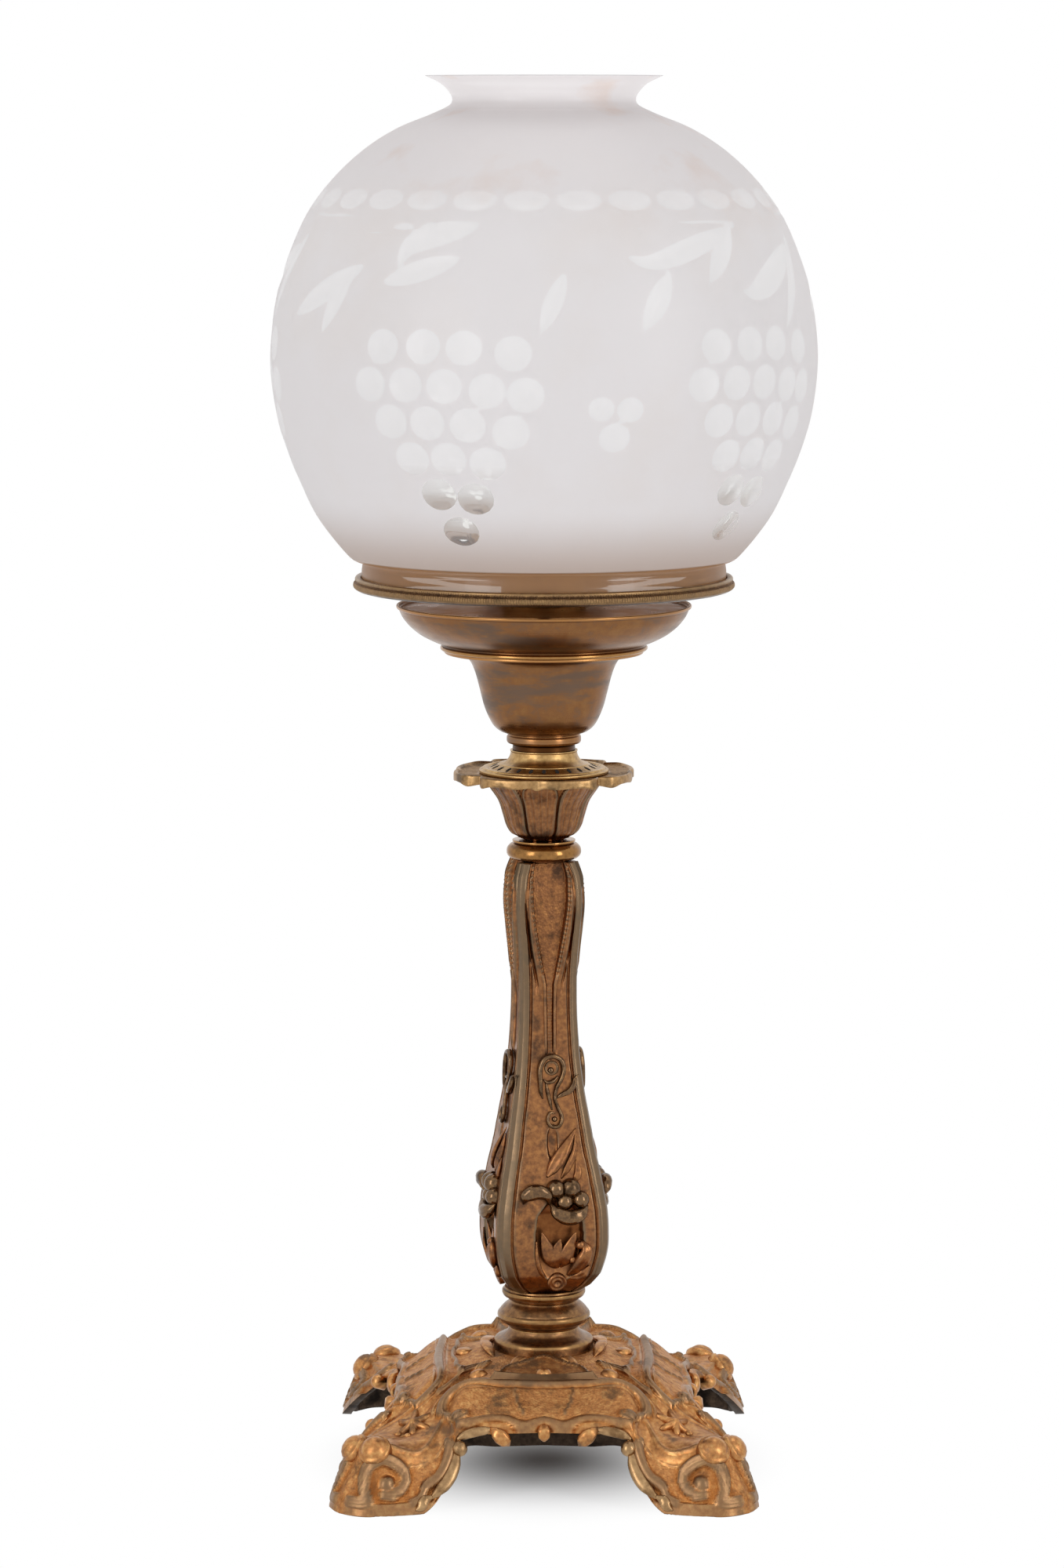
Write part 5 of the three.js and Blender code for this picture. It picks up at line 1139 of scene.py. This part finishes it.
def slot_strip(turn):
    """The dark floor of one slot: a flat bar with round ends, from the cone's foot outwards."""
    start, end = quarter_turn(np.array([slot_inner, slot_outer]), 0, turn * 360 / slot_count)
    return cast_rod([start, (start + end) / 2, end], [0.05, slot_half, slot_half, slot_half, 0.05],
                    [0.02, 0.12, 0.12, 0.12, 0.02], [0, 0, 1])


slots = skin("air_slot_floors", [slot_strip(turn) for turn in range(slot_count)], [dark_slot])
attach(slots, "stand")

cone_outline = [
    [12.9, 328.1, 0.1], [19.6, 328.1, 0.2], [20.8, 330.6, 0.3], [20.7, 331.0, 0.4],
    [18.9, 331.4, 1], [17.1, 332.4, 3], [16.0, 334.0, 3], [15.5, 335.4, 2], [15.3, 336.6, 0.4],
    [15.6, 336.8, 0.2], [15.6, 337.4, 0.2], [12.9, 337.4, 0.1],
]
turned_piece("air_cone_turned", cone_outline, olive_brass, ["air_cone"], "stand")


# Oil font
# The font is spun from sheet brass and gilt: a collar, a bell and a bowl soldered together
# along a bright lip, and a cover with a capped filler.

# Thin gilding over spun brass, rubbed to bands round the bell, with grey-green bloom where
# oil crept. It shines in soft level streaks.
spun_gilding = aged_metal("rubbed_gilding_on_spun_brass", "#835b3a", "#6d5849", "#8f6740",
                          "#b88550", "#4c2e16", 0.22, blotch=42, speck=6, turned=1.0, veil=0.6,
                          level=4.5)
font_collar_outline = [
    [12, 337.5, 0.1], [14.5, 337.5, 0.1], [14.4, 339.8, 0.4], [15.2, 340.2, 0.3], [16.6, 340.6, 0.4],
    [17.2, 341.4, 0.5], [17.2, 343.6, 0.6], [16.6, 344.4, 0.3], [16.5, 344.9, 0.1], [12, 344.9, 0.1],
]
# The collar's foot, in the dark gap over the cone, is painted shade.
turned_piece("font_collar_turned", font_collar_outline, spun_gilding, ["font_collar"], "stand",
             painted_shade=(337, 340.6))
bell_outline = [
    [11.3, 345, 0.1], [16.4, 345, 0.3], [17.6, 345.2, 0.5], [20.4, 346.2, 2], [23.2, 348.4, 3],
    [25.2, 351.8, 3], [27.7, 357.7, 4], [29.5, 365.1, 4], [31.5, 373, 4], [33.6, 378.2, 3],
    [36.4, 381.4, 2], [40, 382.2, 1], [45.6, 382.3, 0.3], [46, 382.8, 0.2], [46, 383.6, 0.1],
    [34.6, 383.6, 0.3], [32, 379, 3], [28.2, 365.4, 4], [24, 352.4, 4], [18, 346.8, 1],
    [11.3, 346.4, 0.1],
]
turned_piece("font_bell_spun", bell_outline, spun_gilding, ["font_bell"], "stand",
             columns=224)
bowl_outline = [
    [40, 383.7, 0.1], [46.4, 383.7, 0.2], [47.4, 384.1, 0.4], [47.7, 384.7, 0.5], [47.6, 385.5, 0.5],
    [46.9, 385.9, 0.3], [46.8, 386.6, 0.3], [48.6, 387.2, 1], [52.1, 388.6, 3], [57.5, 391.3, 4],
    [62.3, 395.3, 4], [65.5, 399.4, 3], [66.8, 402.4, 1.5], [66.9, 402.9, 0.2], [67.8, 403.2, 0.3],
    [68.1, 403.9, 0.4], [68, 404.6, 0.4], [67.4, 404.9, 0.3], [66.8, 404.6, 0.2], [66.7, 403.4, 0.3],
    [64.2, 399.8, 3], [61, 396, 4], [56.8, 392.6, 4], [51.6, 390, 3], [46, 387.6, 2],
    [44, 385.2, 0.3], [40, 385, 0.1],
]
turned_piece("font_bowl_spun", bowl_outline, spun_gilding, ["font_bowl"], "stand",
             columns=256)
lip_outline = [[46, 383.75, 0.1], [47.2, 383.8, 0.3], [47.85, 384.3, 0.5], [47.85, 385.3, 0.5],
               [47.2, 385.85, 0.3], [46, 385.9, 0.1]]
turned_piece("font_lip_bright", lip_outline, burnished_gilding, ["font_bowl"], "stand",
             columns=224)
cover_outline = [
    [17.3, 404.3, 0.1], [66, 401.9, 0.2], [66.5, 402.2, 0.2], [66.5, 403.0, 0.2], [60, 403.4, 1],
    [40, 404.4, 3], [17.3, 405.5, 0.2],
]
# The whole cover lies in the dark gap under the shade ring, and is painted shade.
turned_piece("font_cover_spun", cover_outline, old_lacquer, ["font_cover"], "stand",
             painted_shade=(400, 406))


# Filler
# Oil goes in through a short brass neck, soldered into the cover and closed by a milled cap
# that is turned from brass.

filler_place = [22.5, 38.97, 0]
filler_neck = eased([[5.3, 403.2, 0.1], [6.6, 403.2, 0.1], [6.6, 407.0, 0.2], [6.4, 407.5, 0.2],
                     [5.3, 407.6, 0.1]])
neck = skin("filler_neck", [carried_round(filler_neck, 48) + filler_place], [old_lacquer])
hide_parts("font_cover")
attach(neck, "stand")
filler_cap_outline = eased([
    [0, 409.2, 0], [4.6, 409.2, 0.5], [5.2, 409.4, 0.2], [7.0, 409.3, 0.4], [7.7, 408.8, 0.4],
    [7.8, 408, 0.2], [7.8, 405.0, 0.2], [6.95, 404.95, 0.1], [6.95, 408.3, 0.1], [0, 408.4, 0]])
cap_columns, cap_notches, cap_notch_share, cap_rim = 144, 36, 0.03, 7.5
cap_turn = np.linspace(0, 2 * np.pi, cap_columns, endpoint=False)
cap_grid = carried_round(filler_cap_outline, cap_columns)
cap_rim_points = np.hypot(cap_grid[..., 0], cap_grid[..., 1]) > cap_rim
milled = 1 - cap_notch_share * (0.5 - 0.5 * np.cos(cap_notches * cap_turn)) * cap_rim_points
cap_grid[..., :2] *= milled[..., None]
filler = skin("filler_cap_milled", [cap_grid + filler_place], [old_lacquer])
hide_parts("filler_cap")
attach(filler, "filler")


# Burner
# A tubular wick stands between two brass tubes. Turning the shade ring turns a slotted driver,
# which screws the wick's carrier up or down a groove in the central air tube.

# Burner brass: heat-browned towards the flame, with a bluish bloom.
burner_brass = aged_metal("heat_tinted_burner_brass", "#9a7444", "#5c4634", "#bd955c", "#b9935a",
                          "#4a3420", 0.32, blotch=9, turned=0.6, veil=0.5)
# Steel rod and nuts, seen only from below: brown with rust, grey where a spanner gripped.
plain_steel = aged_metal("rusted_steel_rod", "#6a5f56", "#4a2f20", "#8a8078", "#8a8078",
                         "#3a2a20", 0.45, blotch=5)
# Woven cotton, cream and matt, with its threads just seen and its lip charred black.
wick_thread, char_start, char_end = 0.8, 424, 427
wick_cotton, cotton_tree = new_material("woven_wick_cotton")
cotton_place = add(cotton_tree, "ShaderNodeTexCoord").outputs["Object"]
cotton_weave = add(cotton_tree, "ShaderNodeTexVoronoi", {"Vector": cotton_place,
                                                         "Scale": 1000 / wick_thread})
cotton_axis = add(cotton_tree, "ShaderNodeSeparateXYZ", {0: cotton_place})
cotton_char = add(cotton_tree, "ShaderNodeMapRange", {
    "Value": cotton_axis.outputs[2], "From Min": char_start / 1000, "From Max": char_end / 1000})
cotton_tone = add(cotton_tree, "ShaderNodeMix", {0: cotton_char.outputs[0], 6: linear("#d8cdb4"),
                                                 7: linear("#2a2420")}, data_type="RGBA")
cotton_bump = add(cotton_tree, "ShaderNodeBump", {"Height": cotton_weave.outputs["Distance"],
                                                  "Distance": 0.0002, "Strength": 0.7})
cotton_skin = add(cotton_tree, "ShaderNodeBsdfPrincipled", {
    "Base Color": cotton_tone.outputs[2], "Roughness": 0.9, "Normal": cotton_bump.outputs[0]})
add(cotton_tree, "ShaderNodeOutputMaterial", {"Surface": cotton_skin.outputs[0]})

# Solids that stay as they are, with their real finish.
kept_finishes = {
    "burner_tube": burner_brass, "draft_tube": burner_brass, "wick_driver": burner_brass,
    "wick_carrier": burner_brass, "ring_spider": burner_brass, "wick": wick_cotton,
    "tie_rod": plain_steel, "base_washer": plain_steel, "base_nut": plain_steel,
    "rod_nut": plain_steel,
}
for node, finish in kept_finishes.items():
    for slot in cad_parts[node].material_slots:
        slot.material = finish

collar_outline = [
    [15.9, 399.6, 0.1], [17.0, 399.6, 0.1], [17.0, 405.6, 0.1], [21, 405.6, 0.2], [21.5, 406, 0.2],
    [21.5, 407.2, 0.3], [20.9, 407.7, 0.3], [17.6, 407.8, 0.3], [17.2, 408, 0.1], [15.9, 408, 0.1],
]
turned_piece("burner_collar_turned", collar_outline, burner_brass, ["burner_collar"], "stand",
             columns=120)


# Shade ring
# A turned brass ring with a milled upper edge holds the globe by its fitter. Four arms carry
# it on the burner's hub, each with one screw, and a sprung gallery and a domed solar
# cap sit on the same hub.

ring_outline = [
    [68.5, 411.2, 0.3], [75.6, 411.2, 0.3], [84.2, 411.5, 0.5], [86.6, 412.1, 0.8],
    [87.8, 413.2, 0.7], [87.9, 414.3, 0.5], [87.6, 415.2, 0.4], [86.9, 415.5, 0.2],
    [86.6, 415.7, 0.2], [86.6, 416.0, 0.2], [87.0, 416.2, 0.2], [87.0, 417.3, 0.3],
    [86.4, 417.9, 0.3], [85, 417.9, 0.3], [84.3, 417.5, 0.2], [84.3, 414.0, 0.2],
    [68.5, 414.0, 0.3],
]
# The milled edge is cut by a wheel, upright lines a little over a millimetre apart.
mill_lines, mill_depth = 440, 0.25
ring_brass = aged_metal("browned_brass_with_milled_edge", "#7a5c42", "#524030", "#94744e",
                        "#a0845c", "#3a2414", 0.26, blotch=18, turned=0.6, veil=0.45, level=3.0)
ring_tree = ring_brass.node_tree
ring_place = add(ring_tree, "ShaderNodeTexCoord").outputs["Object"]
ring_axis = add(ring_tree, "ShaderNodeSeparateXYZ", {0: ring_place})
ring_angle = add(ring_tree, "ShaderNodeMath", {0: ring_axis.outputs[1], 1: ring_axis.outputs[0]},
                 operation="ARCTAN2")
ring_teeth = add(ring_tree, "ShaderNodeMath", {0: ring_angle.outputs[0], 1: float(mill_lines)},
                 operation="MULTIPLY")
ring_wave = add(ring_tree, "ShaderNodeMath", {0: ring_teeth.outputs[0]}, operation="SINE")
ring_mark = add(ring_tree, "ShaderNodeAttribute", attribute_name="finish")
ring_share = add(ring_tree, "ShaderNodeSeparateColor", {0: ring_mark.outputs["Color"]})
ring_cut = add(ring_tree, "ShaderNodeMath", {0: ring_wave.outputs[0], 1: ring_share.outputs[2]},
               operation="MULTIPLY")
ring_metal = next(node for node in ring_tree.nodes if node.type == "BSDF_PRINCIPLED")
ring_normal = ring_metal.inputs["Normal"].links[0].from_socket
ring_bump = add(ring_tree, "ShaderNodeBump", {
    "Height": ring_cut.outputs[0], "Distance": mill_depth / 1000, "Normal": ring_normal})
ring_tree.links.new(ring_bump.outputs[0], ring_metal.inputs["Normal"])
# The ring's underside is painted dark, as painted shade and the reflection of the font below it.
turned_piece("shade_ring_turned", ring_outline, ring_brass, ["shade_ring"], "ring",
             columns=320, punched=(413.0, 417.0), painted_shade=(411.0, 412.6))

screw_reach = 74.3
screw_head = [[0, 8.6], [1.5, 8.5], [1.8, 8.0], [1.8, 2.4], [2.6, 2.0], [2.7, 0.3], [2.7, 0],
              [0, 0]]
screw_shank = [[0, 2.1], [1.3, 2.1], [1.3, -3.4], [0, -3.6]]
head = rosette([screw_reach, 0, 414.1], [0, 0, 1], screw_head, columns=24)
shank = rosette([screw_reach, 0, 414.2], [0, 0, 1], screw_shank, columns=16)
for turn in range(4):
    screw = skin("arm_screw_turned_%d" % (turn + 1), [quarter_turn(head, turn),
                                                      quarter_turn(shank, turn)], [burner_brass])
    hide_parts("arm_screw_%d" % (turn + 1))
    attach(screw, "ring")


finger_count, finger_gap, finger_root, gallery_radius = 8, 6.0, 421.3, 31


def gallery():
    """The gallery's cup is carried round and parted into sprung fingers: between two of them
    the wall is drawn down to their root, and no thicker there than the cup's wall."""
    curve = eased([
        [20.1, 416.2, 0.1], [30.6, 416.2, 0.3], [31, 416.6, 0.3], [31, 421.2, 1], [32.2, 432.8, 0.3],
        [32, 433.2, 0.1], [31.4, 433.2, 0.1], [31.2, 432.8, 0.3], [30, 421.2, 1], [30, 417.4, 0.3],
        [29.6, 417.2, 0.2], [20.1, 417.2, 0.1]])
    grid = carried_round(curve, 384)
    angle = np.linspace(0, 360, 384, endpoint=False)
    off = np.abs(angle % (360 / finger_count) - 180 / finger_count)
    gap = (off < np.degrees(finger_gap / 2 / gallery_radius)) & (grid[..., 2] > finger_root)
    grid[..., 2] = np.where(gap, finger_root, grid[..., 2])
    reach = np.hypot(grid[..., 0], grid[..., 1])
    grid[..., :2] *= np.where(gap, np.clip(reach, 30.05, 30.95) / reach, 1)[..., None]
    return grid


gallery_skin = skin("chimney_gallery_fingers", [gallery()], [burner_brass])
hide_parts("chimney_gallery")
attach(gallery_skin, "ring")
solar_cap_outline = [
    [27.5, 417.3, 0.1], [28.4, 417.3, 0.1], [28.4, 429.6, 2], [27.2, 434, 3], [23, 437.3, 3],
    [15, 438.9, 3], [11.6, 439.3, 0.3], [11.5, 438.9, 0.1], [11.6, 438.3, 0.2], [15, 438, 3],
    [22.5, 436.4, 3], [26.4, 433.5, 3], [27.5, 429.4, 2],
]
turned_piece("solar_cap_spun", solar_cap_outline, burner_brass, ["solar_cap"], "cap")


# Globe
# A blown glass globe, frosted outside and cut through the frosting on the wheel: five bunches
# of grapes with leaves and stalks, and a row of ovals under the neck. Its fitter is clear, and
# stands in the shade ring.

def paced_steps(curve, count, closer):
    """Points along a curve at even distances, but so many times closer at the globe's neck
    and fitter, where it bends sharply."""
    bent = (curve[1:, 1] > neck_start) | (curve[1:, 1] < fitter_top)
    pace = np.linalg.norm(np.diff(curve, axis=0), axis=1) * np.where(bent, closer, 1)
    length = np.concatenate([[0], np.cumsum(pace)])
    at = np.linspace(0, length[-1], count)
    return np.stack([np.interp(at, length, curve[:, i]) for i in range(curve.shape[1])], -1)


globe_outline = np.array([
    [83.9, 414.1], [83.9, 420], [83.9, 425.4], [89.6, 427.4], [103.4, 444.7], [112, 462],
    [118.8, 479.3], [123.3, 497], [125.2, 520], [122.3, 545.3], [116.4, 565.1], [107.7, 584.3],
    [96, 599.8], [81.8, 612.9], [66.8, 622.3], [51.7, 628.5], [43.2, 632.6], [41.8, 635.6],
    [43.2, 638.6], [47, 642.4], [54.3, 646]])
globe_wall, globe_top = 2.8, 646
globe_rows, globe_columns, globe_inner_rows = 132, 576, 38
neck_start, fitter_top = 622, 429.5
cut_depth, leaf_depth = 1.1, 0.7
frost_bottom, frost_top = 426.5, 631
neck_clear = 0.12               # the neck's frosting is a little thinner

# Grapes of one bunch: degrees from its middle, and height. Each is an oval lens.
bunch = [[-14.1, 527.9], [-4.6, 528.3], [4.2, 528], [14.3, 525.8], [-17.3, 511.2], [-8.6, 511.4],
         [0, 511.2], [9, 509.4], [16.8, 507.8], [-12.7, 495], [-4.1, 494.8], [4.7, 494.2],
         [13.7, 491.3], [-8.7, 478.9], [-0.2, 479], [8.4, 477.3], [-3.8, 462.9], [4.9, 461.3],
         [0, 446]]
grape_wide, grape_tall = 8.4, 7.7
bunch_places = [-110.6 + 72 * number for number in range(5)]
long_leaved = (1, 4)            # the bunches whose leaves are of the second kind
# Leaves of a bunch, in two kinds: half width, then degrees and height along the middle.
leaves_wide = [
    (4.2, [[4.6, 580.5], [-9.7, 572.8], [-12.9, 558.8]]), (3.6, [[1.3, 566], [-17.6, 554.2]]),
    (3.2, [[-25.2, 561.1], [-32.6, 530.7]]), (3.8, [[-22.9, 561.8], [-45.4, 537.7]]),
    (3.0, [[24.5, 558.8], [21.5, 543], [19.6, 532.9]]),
    (0.8, [[-49.8, 584.5], [-19.2, 582.7], [-3.6, 582.4]]),
    (0.8, [[-26.4, 577.7], [-18.2, 578], [-3.6, 582.4]]),
]
leaves_long = [
    (3.4, [[-32.3, 566.3], [-26.6, 564.9], [-11.8, 573.9], [0.8, 581]]),
    (3.4, [[-4.3, 578.8], [-14.8, 553.6]]), (4.8, [[18.3, 569.2], [-0.4, 551.2], [-6.8, 554.3]]),
    (2.8, [[22, 574.6], [8.6, 530.9]]), (3.4, [[-24.3, 558.4], [-31.6, 533.3]]),
    (0.8, [[23.8, 583.6], [-10, 582.3], [-29.9, 579.4]]),
]
# Three lone grapes between two bunches: degrees, height, half width and half height.
lone_lenses = [(-75.5, 488.7, 7.2, 6.6), (-78.5, 501.5, 6.0, 5.4), (-72.4, 501.0, 6.2, 5.6)]
oval_count, oval_height, oval_wide, oval_tall, first_oval = 28, 591.5, 10.3, 5.5, -158.7


def globe_cuts(angle, height, radius, along):
    """Depth of the cutting and distance inside its nearest edge, at degrees and heights. A
    lens is deepest in its middle, and a leaf is a trough with a sharp floor along its path."""
    depth, inside = np.zeros(angle.shape), np.full(angle.shape, -9.0)

    def along_at(level):
        return np.interp(level, height[:, 0], along[:, 0])

    def near(middle, level, wide):
        off = (angle - middle + 180) % 360 - 180
        rows = np.abs(along[:, 0] - along_at(level)) < wide
        return np.radians(off[rows]) * radius[rows], along[rows], rows

    def lens(middle, level, wide, tall):
        x, y, rows = near(middle, level, tall + 6)
        share = np.hypot(x / wide, (y - along_at(level)) / tall)
        depth[rows] = np.maximum(depth[rows], cut_depth * np.clip(1 - share ** 2, 0, 1))
        inside[rows] = np.maximum(inside[rows], (1 - share) * tall)

    def leaf(middle, wide, path):
        path = smooth_path([[middle + off, level] for off, level in path], 14)
        x, y, rows = near(middle, path[:, 1].mean(), np.ptp(path[:, 1]) / 2 + 14)
        reach = np.interp(path[:, 1], height[:, 0], radius[:, 0])
        line = np.stack([np.radians(path[:, 0] - middle) * reach, along_at(path[:, 1])], -1)
        away, at = path_distance(x, y, line)
        swollen = wide * (1.35 if wide > 2 else 1)
        half = swollen * np.clip(1 - np.abs(2 * at - 0.85) ** 2.2, 0, 1) + 0.25
        depth[rows] = np.maximum(depth[rows], leaf_depth * np.clip(1 - away / half, 0, 1))
        inside[rows] = np.maximum(inside[rows], half - away)

    for number, place in enumerate(bunch_places):
        for off, level in bunch:
            lens(place + off, level, grape_wide, grape_tall)
        for wide, path in (leaves_long if number in long_leaved else leaves_wide):
            leaf(place, wide, path)
    for middle, level, wide, tall in lone_lenses:
        lens(middle, level, wide, tall)
    for number in range(oval_count):
        lens(first_oval + number * 360 / oval_count, oval_height, oval_wide, oval_tall)
    return depth, inside


globe_curve = paced_steps(smooth_path(globe_outline, 600), globe_rows, 2)
globe_slope = np.gradient(globe_curve, axis=0)
globe_out = np.stack([globe_slope[:, 1], -globe_slope[:, 0]], -1)
globe_out /= np.linalg.norm(globe_out, axis=1, keepdims=True)
globe_along = np.concatenate([[0], np.cumsum(np.linalg.norm(np.diff(globe_curve, axis=0), axis=1))])
globe_angle = np.broadcast_to(np.linspace(-180, 180, globe_columns, endpoint=False),
                              (globe_rows, globe_columns))
globe_level, globe_radius_at, globe_far = (
    np.repeat(column[:, None], globe_columns, axis=1)
    for column in (globe_curve[:, 1], globe_curve[:, 0], globe_along))
globe_depth, globe_inside = globe_cuts(globe_angle, globe_level, globe_radius_at, globe_far)
globe_turn = np.radians(globe_angle)
globe_reach = globe_curve[:, :1] - globe_out[:, :1] * globe_depth
globe_outer = np.stack([globe_reach * np.cos(globe_turn), globe_reach * np.sin(globe_turn),
                        np.minimum(globe_level - globe_out[:, 1:] * globe_depth, globe_top)], -1)
inner_curve = paced_steps((globe_curve - globe_out * globe_wall)[::-1], globe_inner_rows, 6)
inner_curve[:, 1] = np.minimum(inner_curve[:, 1], globe_top - 0.1)
globe_inner = carried_round(inner_curve, globe_columns)
globe_inner = np.roll(globe_inner, globe_columns // 2, axis=1)
clear = np.where(globe_level < frost_bottom, 1, np.where(globe_level > frost_top, neck_clear, 0))
globe_finish = np.stack([np.clip(0.5 + globe_inside / 6, 0, 1), clear,
                         (globe_level < frost_bottom).astype(float)], -1)
globe_finish = np.concatenate([globe_finish, np.ones(globe_inner.shape)])


def clear_body(tree, roughness):
    """Polished glass that light and shadow pass, so that it dims nothing behind it."""
    path = add(tree, "ShaderNodeLightPath")
    light = add(tree, "ShaderNodeMath", {0: path.outputs["Is Shadow Ray"],
                                         1: path.outputs["Is Diffuse Ray"]}, operation="MAXIMUM")
    body = add(tree, "ShaderNodeBsdfPrincipled", {
        "Base Color": linear("#fdfdfb"), "Roughness": roughness, "IOR": 1.5,
        "Transmission Weight": 1.0})
    through = add(tree, "ShaderNodeBsdfTransparent", {"Color": linear("#fbfbf9")})
    return add(tree, "ShaderNodeMixShader", {0: light.outputs[0], 1: body.outputs[0],
                                             2: through.outputs[0]}).outputs[0]


def lit_through(tree, coat, tone):
    """A coat that half shines back and half lets light through in its own tone."""
    through = add(tree, "ShaderNodeBsdfTranslucent", {"Color": tone})
    return add(tree, "ShaderNodeMixShader", {0: 0.5, 1: coat.outputs[0],
                                             2: through.outputs[0]}).outputs[0]


# Blown soda glass, fire-polished inside: clear, with sharp highlights.
clear_glass, glass_tree = new_material("clear_polished_glass")
add(glass_tree, "ShaderNodeOutputMaterial", {"Surface": clear_body(glass_tree, 0.02)})

# Frosted glass, ground matt outside: it glows evenly with the light that comes through it,
# with faint level lines from the grinding. Where the wheel cut through, it is clear, and the
# edge of each cut is a soft white line. Sizes are millimetres, and from and to are heights.
grind_pitch, cloud_size, rust_size, grind_depth = 2.2, 60, 38, 0.08
low_shade_from, low_shade_to = 458, 424         # the frosting is painted greyer towards the ring, as painted shade
stain_from, stain_to = 575, 630         # and rust-brown specks lie under the neck
milky_to, polished_from = 476, 462
frosted_glass, frost_tree = new_material("frosted_and_cut_glass")
frost_place = add(frost_tree, "ShaderNodeTexCoord").outputs["Object"]
frost_mark = add(frost_tree, "ShaderNodeAttribute", attribute_name="finish")
frost_share = add(frost_tree, "ShaderNodeSeparateColor", {0: frost_mark.outputs["Color"]})
frost_axis = add(frost_tree, "ShaderNodeSeparateXYZ", {0: frost_place})
frost_level = add(frost_tree, "ShaderNodeCombineXYZ", {"Z": frost_axis.outputs[2]})
frost_lines = add(frost_tree, "ShaderNodeTexNoise", {
    "Vector": frost_level.outputs[0], "Scale": 1000 / grind_pitch, "Detail": 3.0})
frost_cloud = add(frost_tree, "ShaderNodeTexNoise", {
    "Vector": frost_place, "Scale": 1000 / cloud_size, "Detail": 4.0})
frost_spot = add(frost_tree, "ShaderNodeTexNoise", {
    "Vector": frost_place, "Scale": 1000 / rust_size, "Detail": 6.0})
frost_stain = add(frost_tree, "ShaderNodeMapRange", {
    "Value": frost_cloud.outputs[0], "From Min": 0.5, "From Max": 0.75, "To Max": 0.5})
frost_cut = add(frost_tree, "ShaderNodeMapRange", {
    "Value": frost_share.outputs[0], "From Min": 0.49, "From Max": 0.53})
# Painted shade: the frosting greys towards the ring.
frost_low_shade = add(frost_tree, "ShaderNodeMapRange", {
    "Value": frost_axis.outputs[2], "From Min": low_shade_from / 1000, "From Max": low_shade_to / 1000},
    interpolation_type="SMOOTHSTEP")
frost_high = add(frost_tree, "ShaderNodeMapRange", {
    "Value": frost_axis.outputs[2], "From Min": stain_from / 1000, "From Max": stain_to / 1000})
frost_brown = add(frost_tree, "ShaderNodeMapRange", {
    "Value": frost_spot.outputs[0], "From Min": 0.58, "From Max": 0.78, "To Max": 0.55})
frost_rust = add(frost_tree, "ShaderNodeMath", {0: frost_brown.outputs[0], 1: frost_high.outputs[0]},
                 operation="MULTIPLY")
frost_tone = linear("#f3f1f3")
for part, colour in ((frost_stain, "#efe9e6"), (frost_cut, "#fdfdff"), (frost_low_shade, "#c9b9b0"),
                     (frost_high, "#e8e4e6"), (frost_rust, "#dbb59c")):
    frost_tone = add(frost_tree, "ShaderNodeMix", {
        0: part.outputs[0], 6: frost_tone, 7: linear(colour)}, data_type="RGBA").outputs[2]
frost_bump = add(frost_tree, "ShaderNodeBump", {
    "Height": frost_lines.outputs[0], "Distance": grind_depth / 1000, "Strength": 0.4})
frost_skin = add(frost_tree, "ShaderNodeBsdfPrincipled", {
    "Base Color": frost_tone, "Roughness": 0.42, "Normal": frost_bump.outputs[0]})
# The lowest lenses were polished after cutting, and the upper ones stayed a little milky.
polish = add(frost_tree, "ShaderNodeMapRange", {
    "Value": frost_axis.outputs[2], "From Min": milky_to / 1000, "From Max": polished_from / 1000,
    "To Min": 0.08, "To Max": 0.74})
cut_share = add(frost_tree, "ShaderNodeMath", {0: frost_cut.outputs[0], 1: polish.outputs[0]},
                operation="MULTIPLY")
clear_share = add(frost_tree, "ShaderNodeMath", {0: cut_share.outputs[0],
                                                 1: frost_share.outputs[1]}, operation="MAXIMUM")
frost_mix = add(frost_tree, "ShaderNodeMixShader", {
    0: clear_share.outputs[0], 1: lit_through(frost_tree, frost_skin, frost_tone),
    2: clear_body(frost_tree, 0.04)})
# The clear fitter is painted mostly brown, standing in for the brass ring and burner seen through
# it.
brass_view_tone, brass_view_cover = linear("#b0845c"), 0.82
brass_view_skin = add(frost_tree, "ShaderNodeBsdfPrincipled", {"Base Color": brass_view_tone,
                                                         "Roughness": 0.35})
brass_view_share = add(frost_tree, "ShaderNodeMath", {0: frost_share.outputs[2], 1: brass_view_cover},
                 operation="MULTIPLY")
frost_all = add(frost_tree, "ShaderNodeMixShader", {
    0: brass_view_share.outputs[0], 1: frost_mix.outputs[0],
    2: lit_through(frost_tree, brass_view_skin, brass_view_tone)})
add(frost_tree, "ShaderNodeOutputMaterial", {"Surface": frost_all.outputs[0]})

globe_slots = np.repeat([0, 1], [globe_rows - 1, globe_inner_rows + 1])
globe = skin("globe_cut_glass", [np.concatenate([globe_outer, globe_inner])],
             [frosted_glass, clear_glass], [globe_finish], globe_slots)
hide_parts("glass_shade")
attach(globe, "globe")
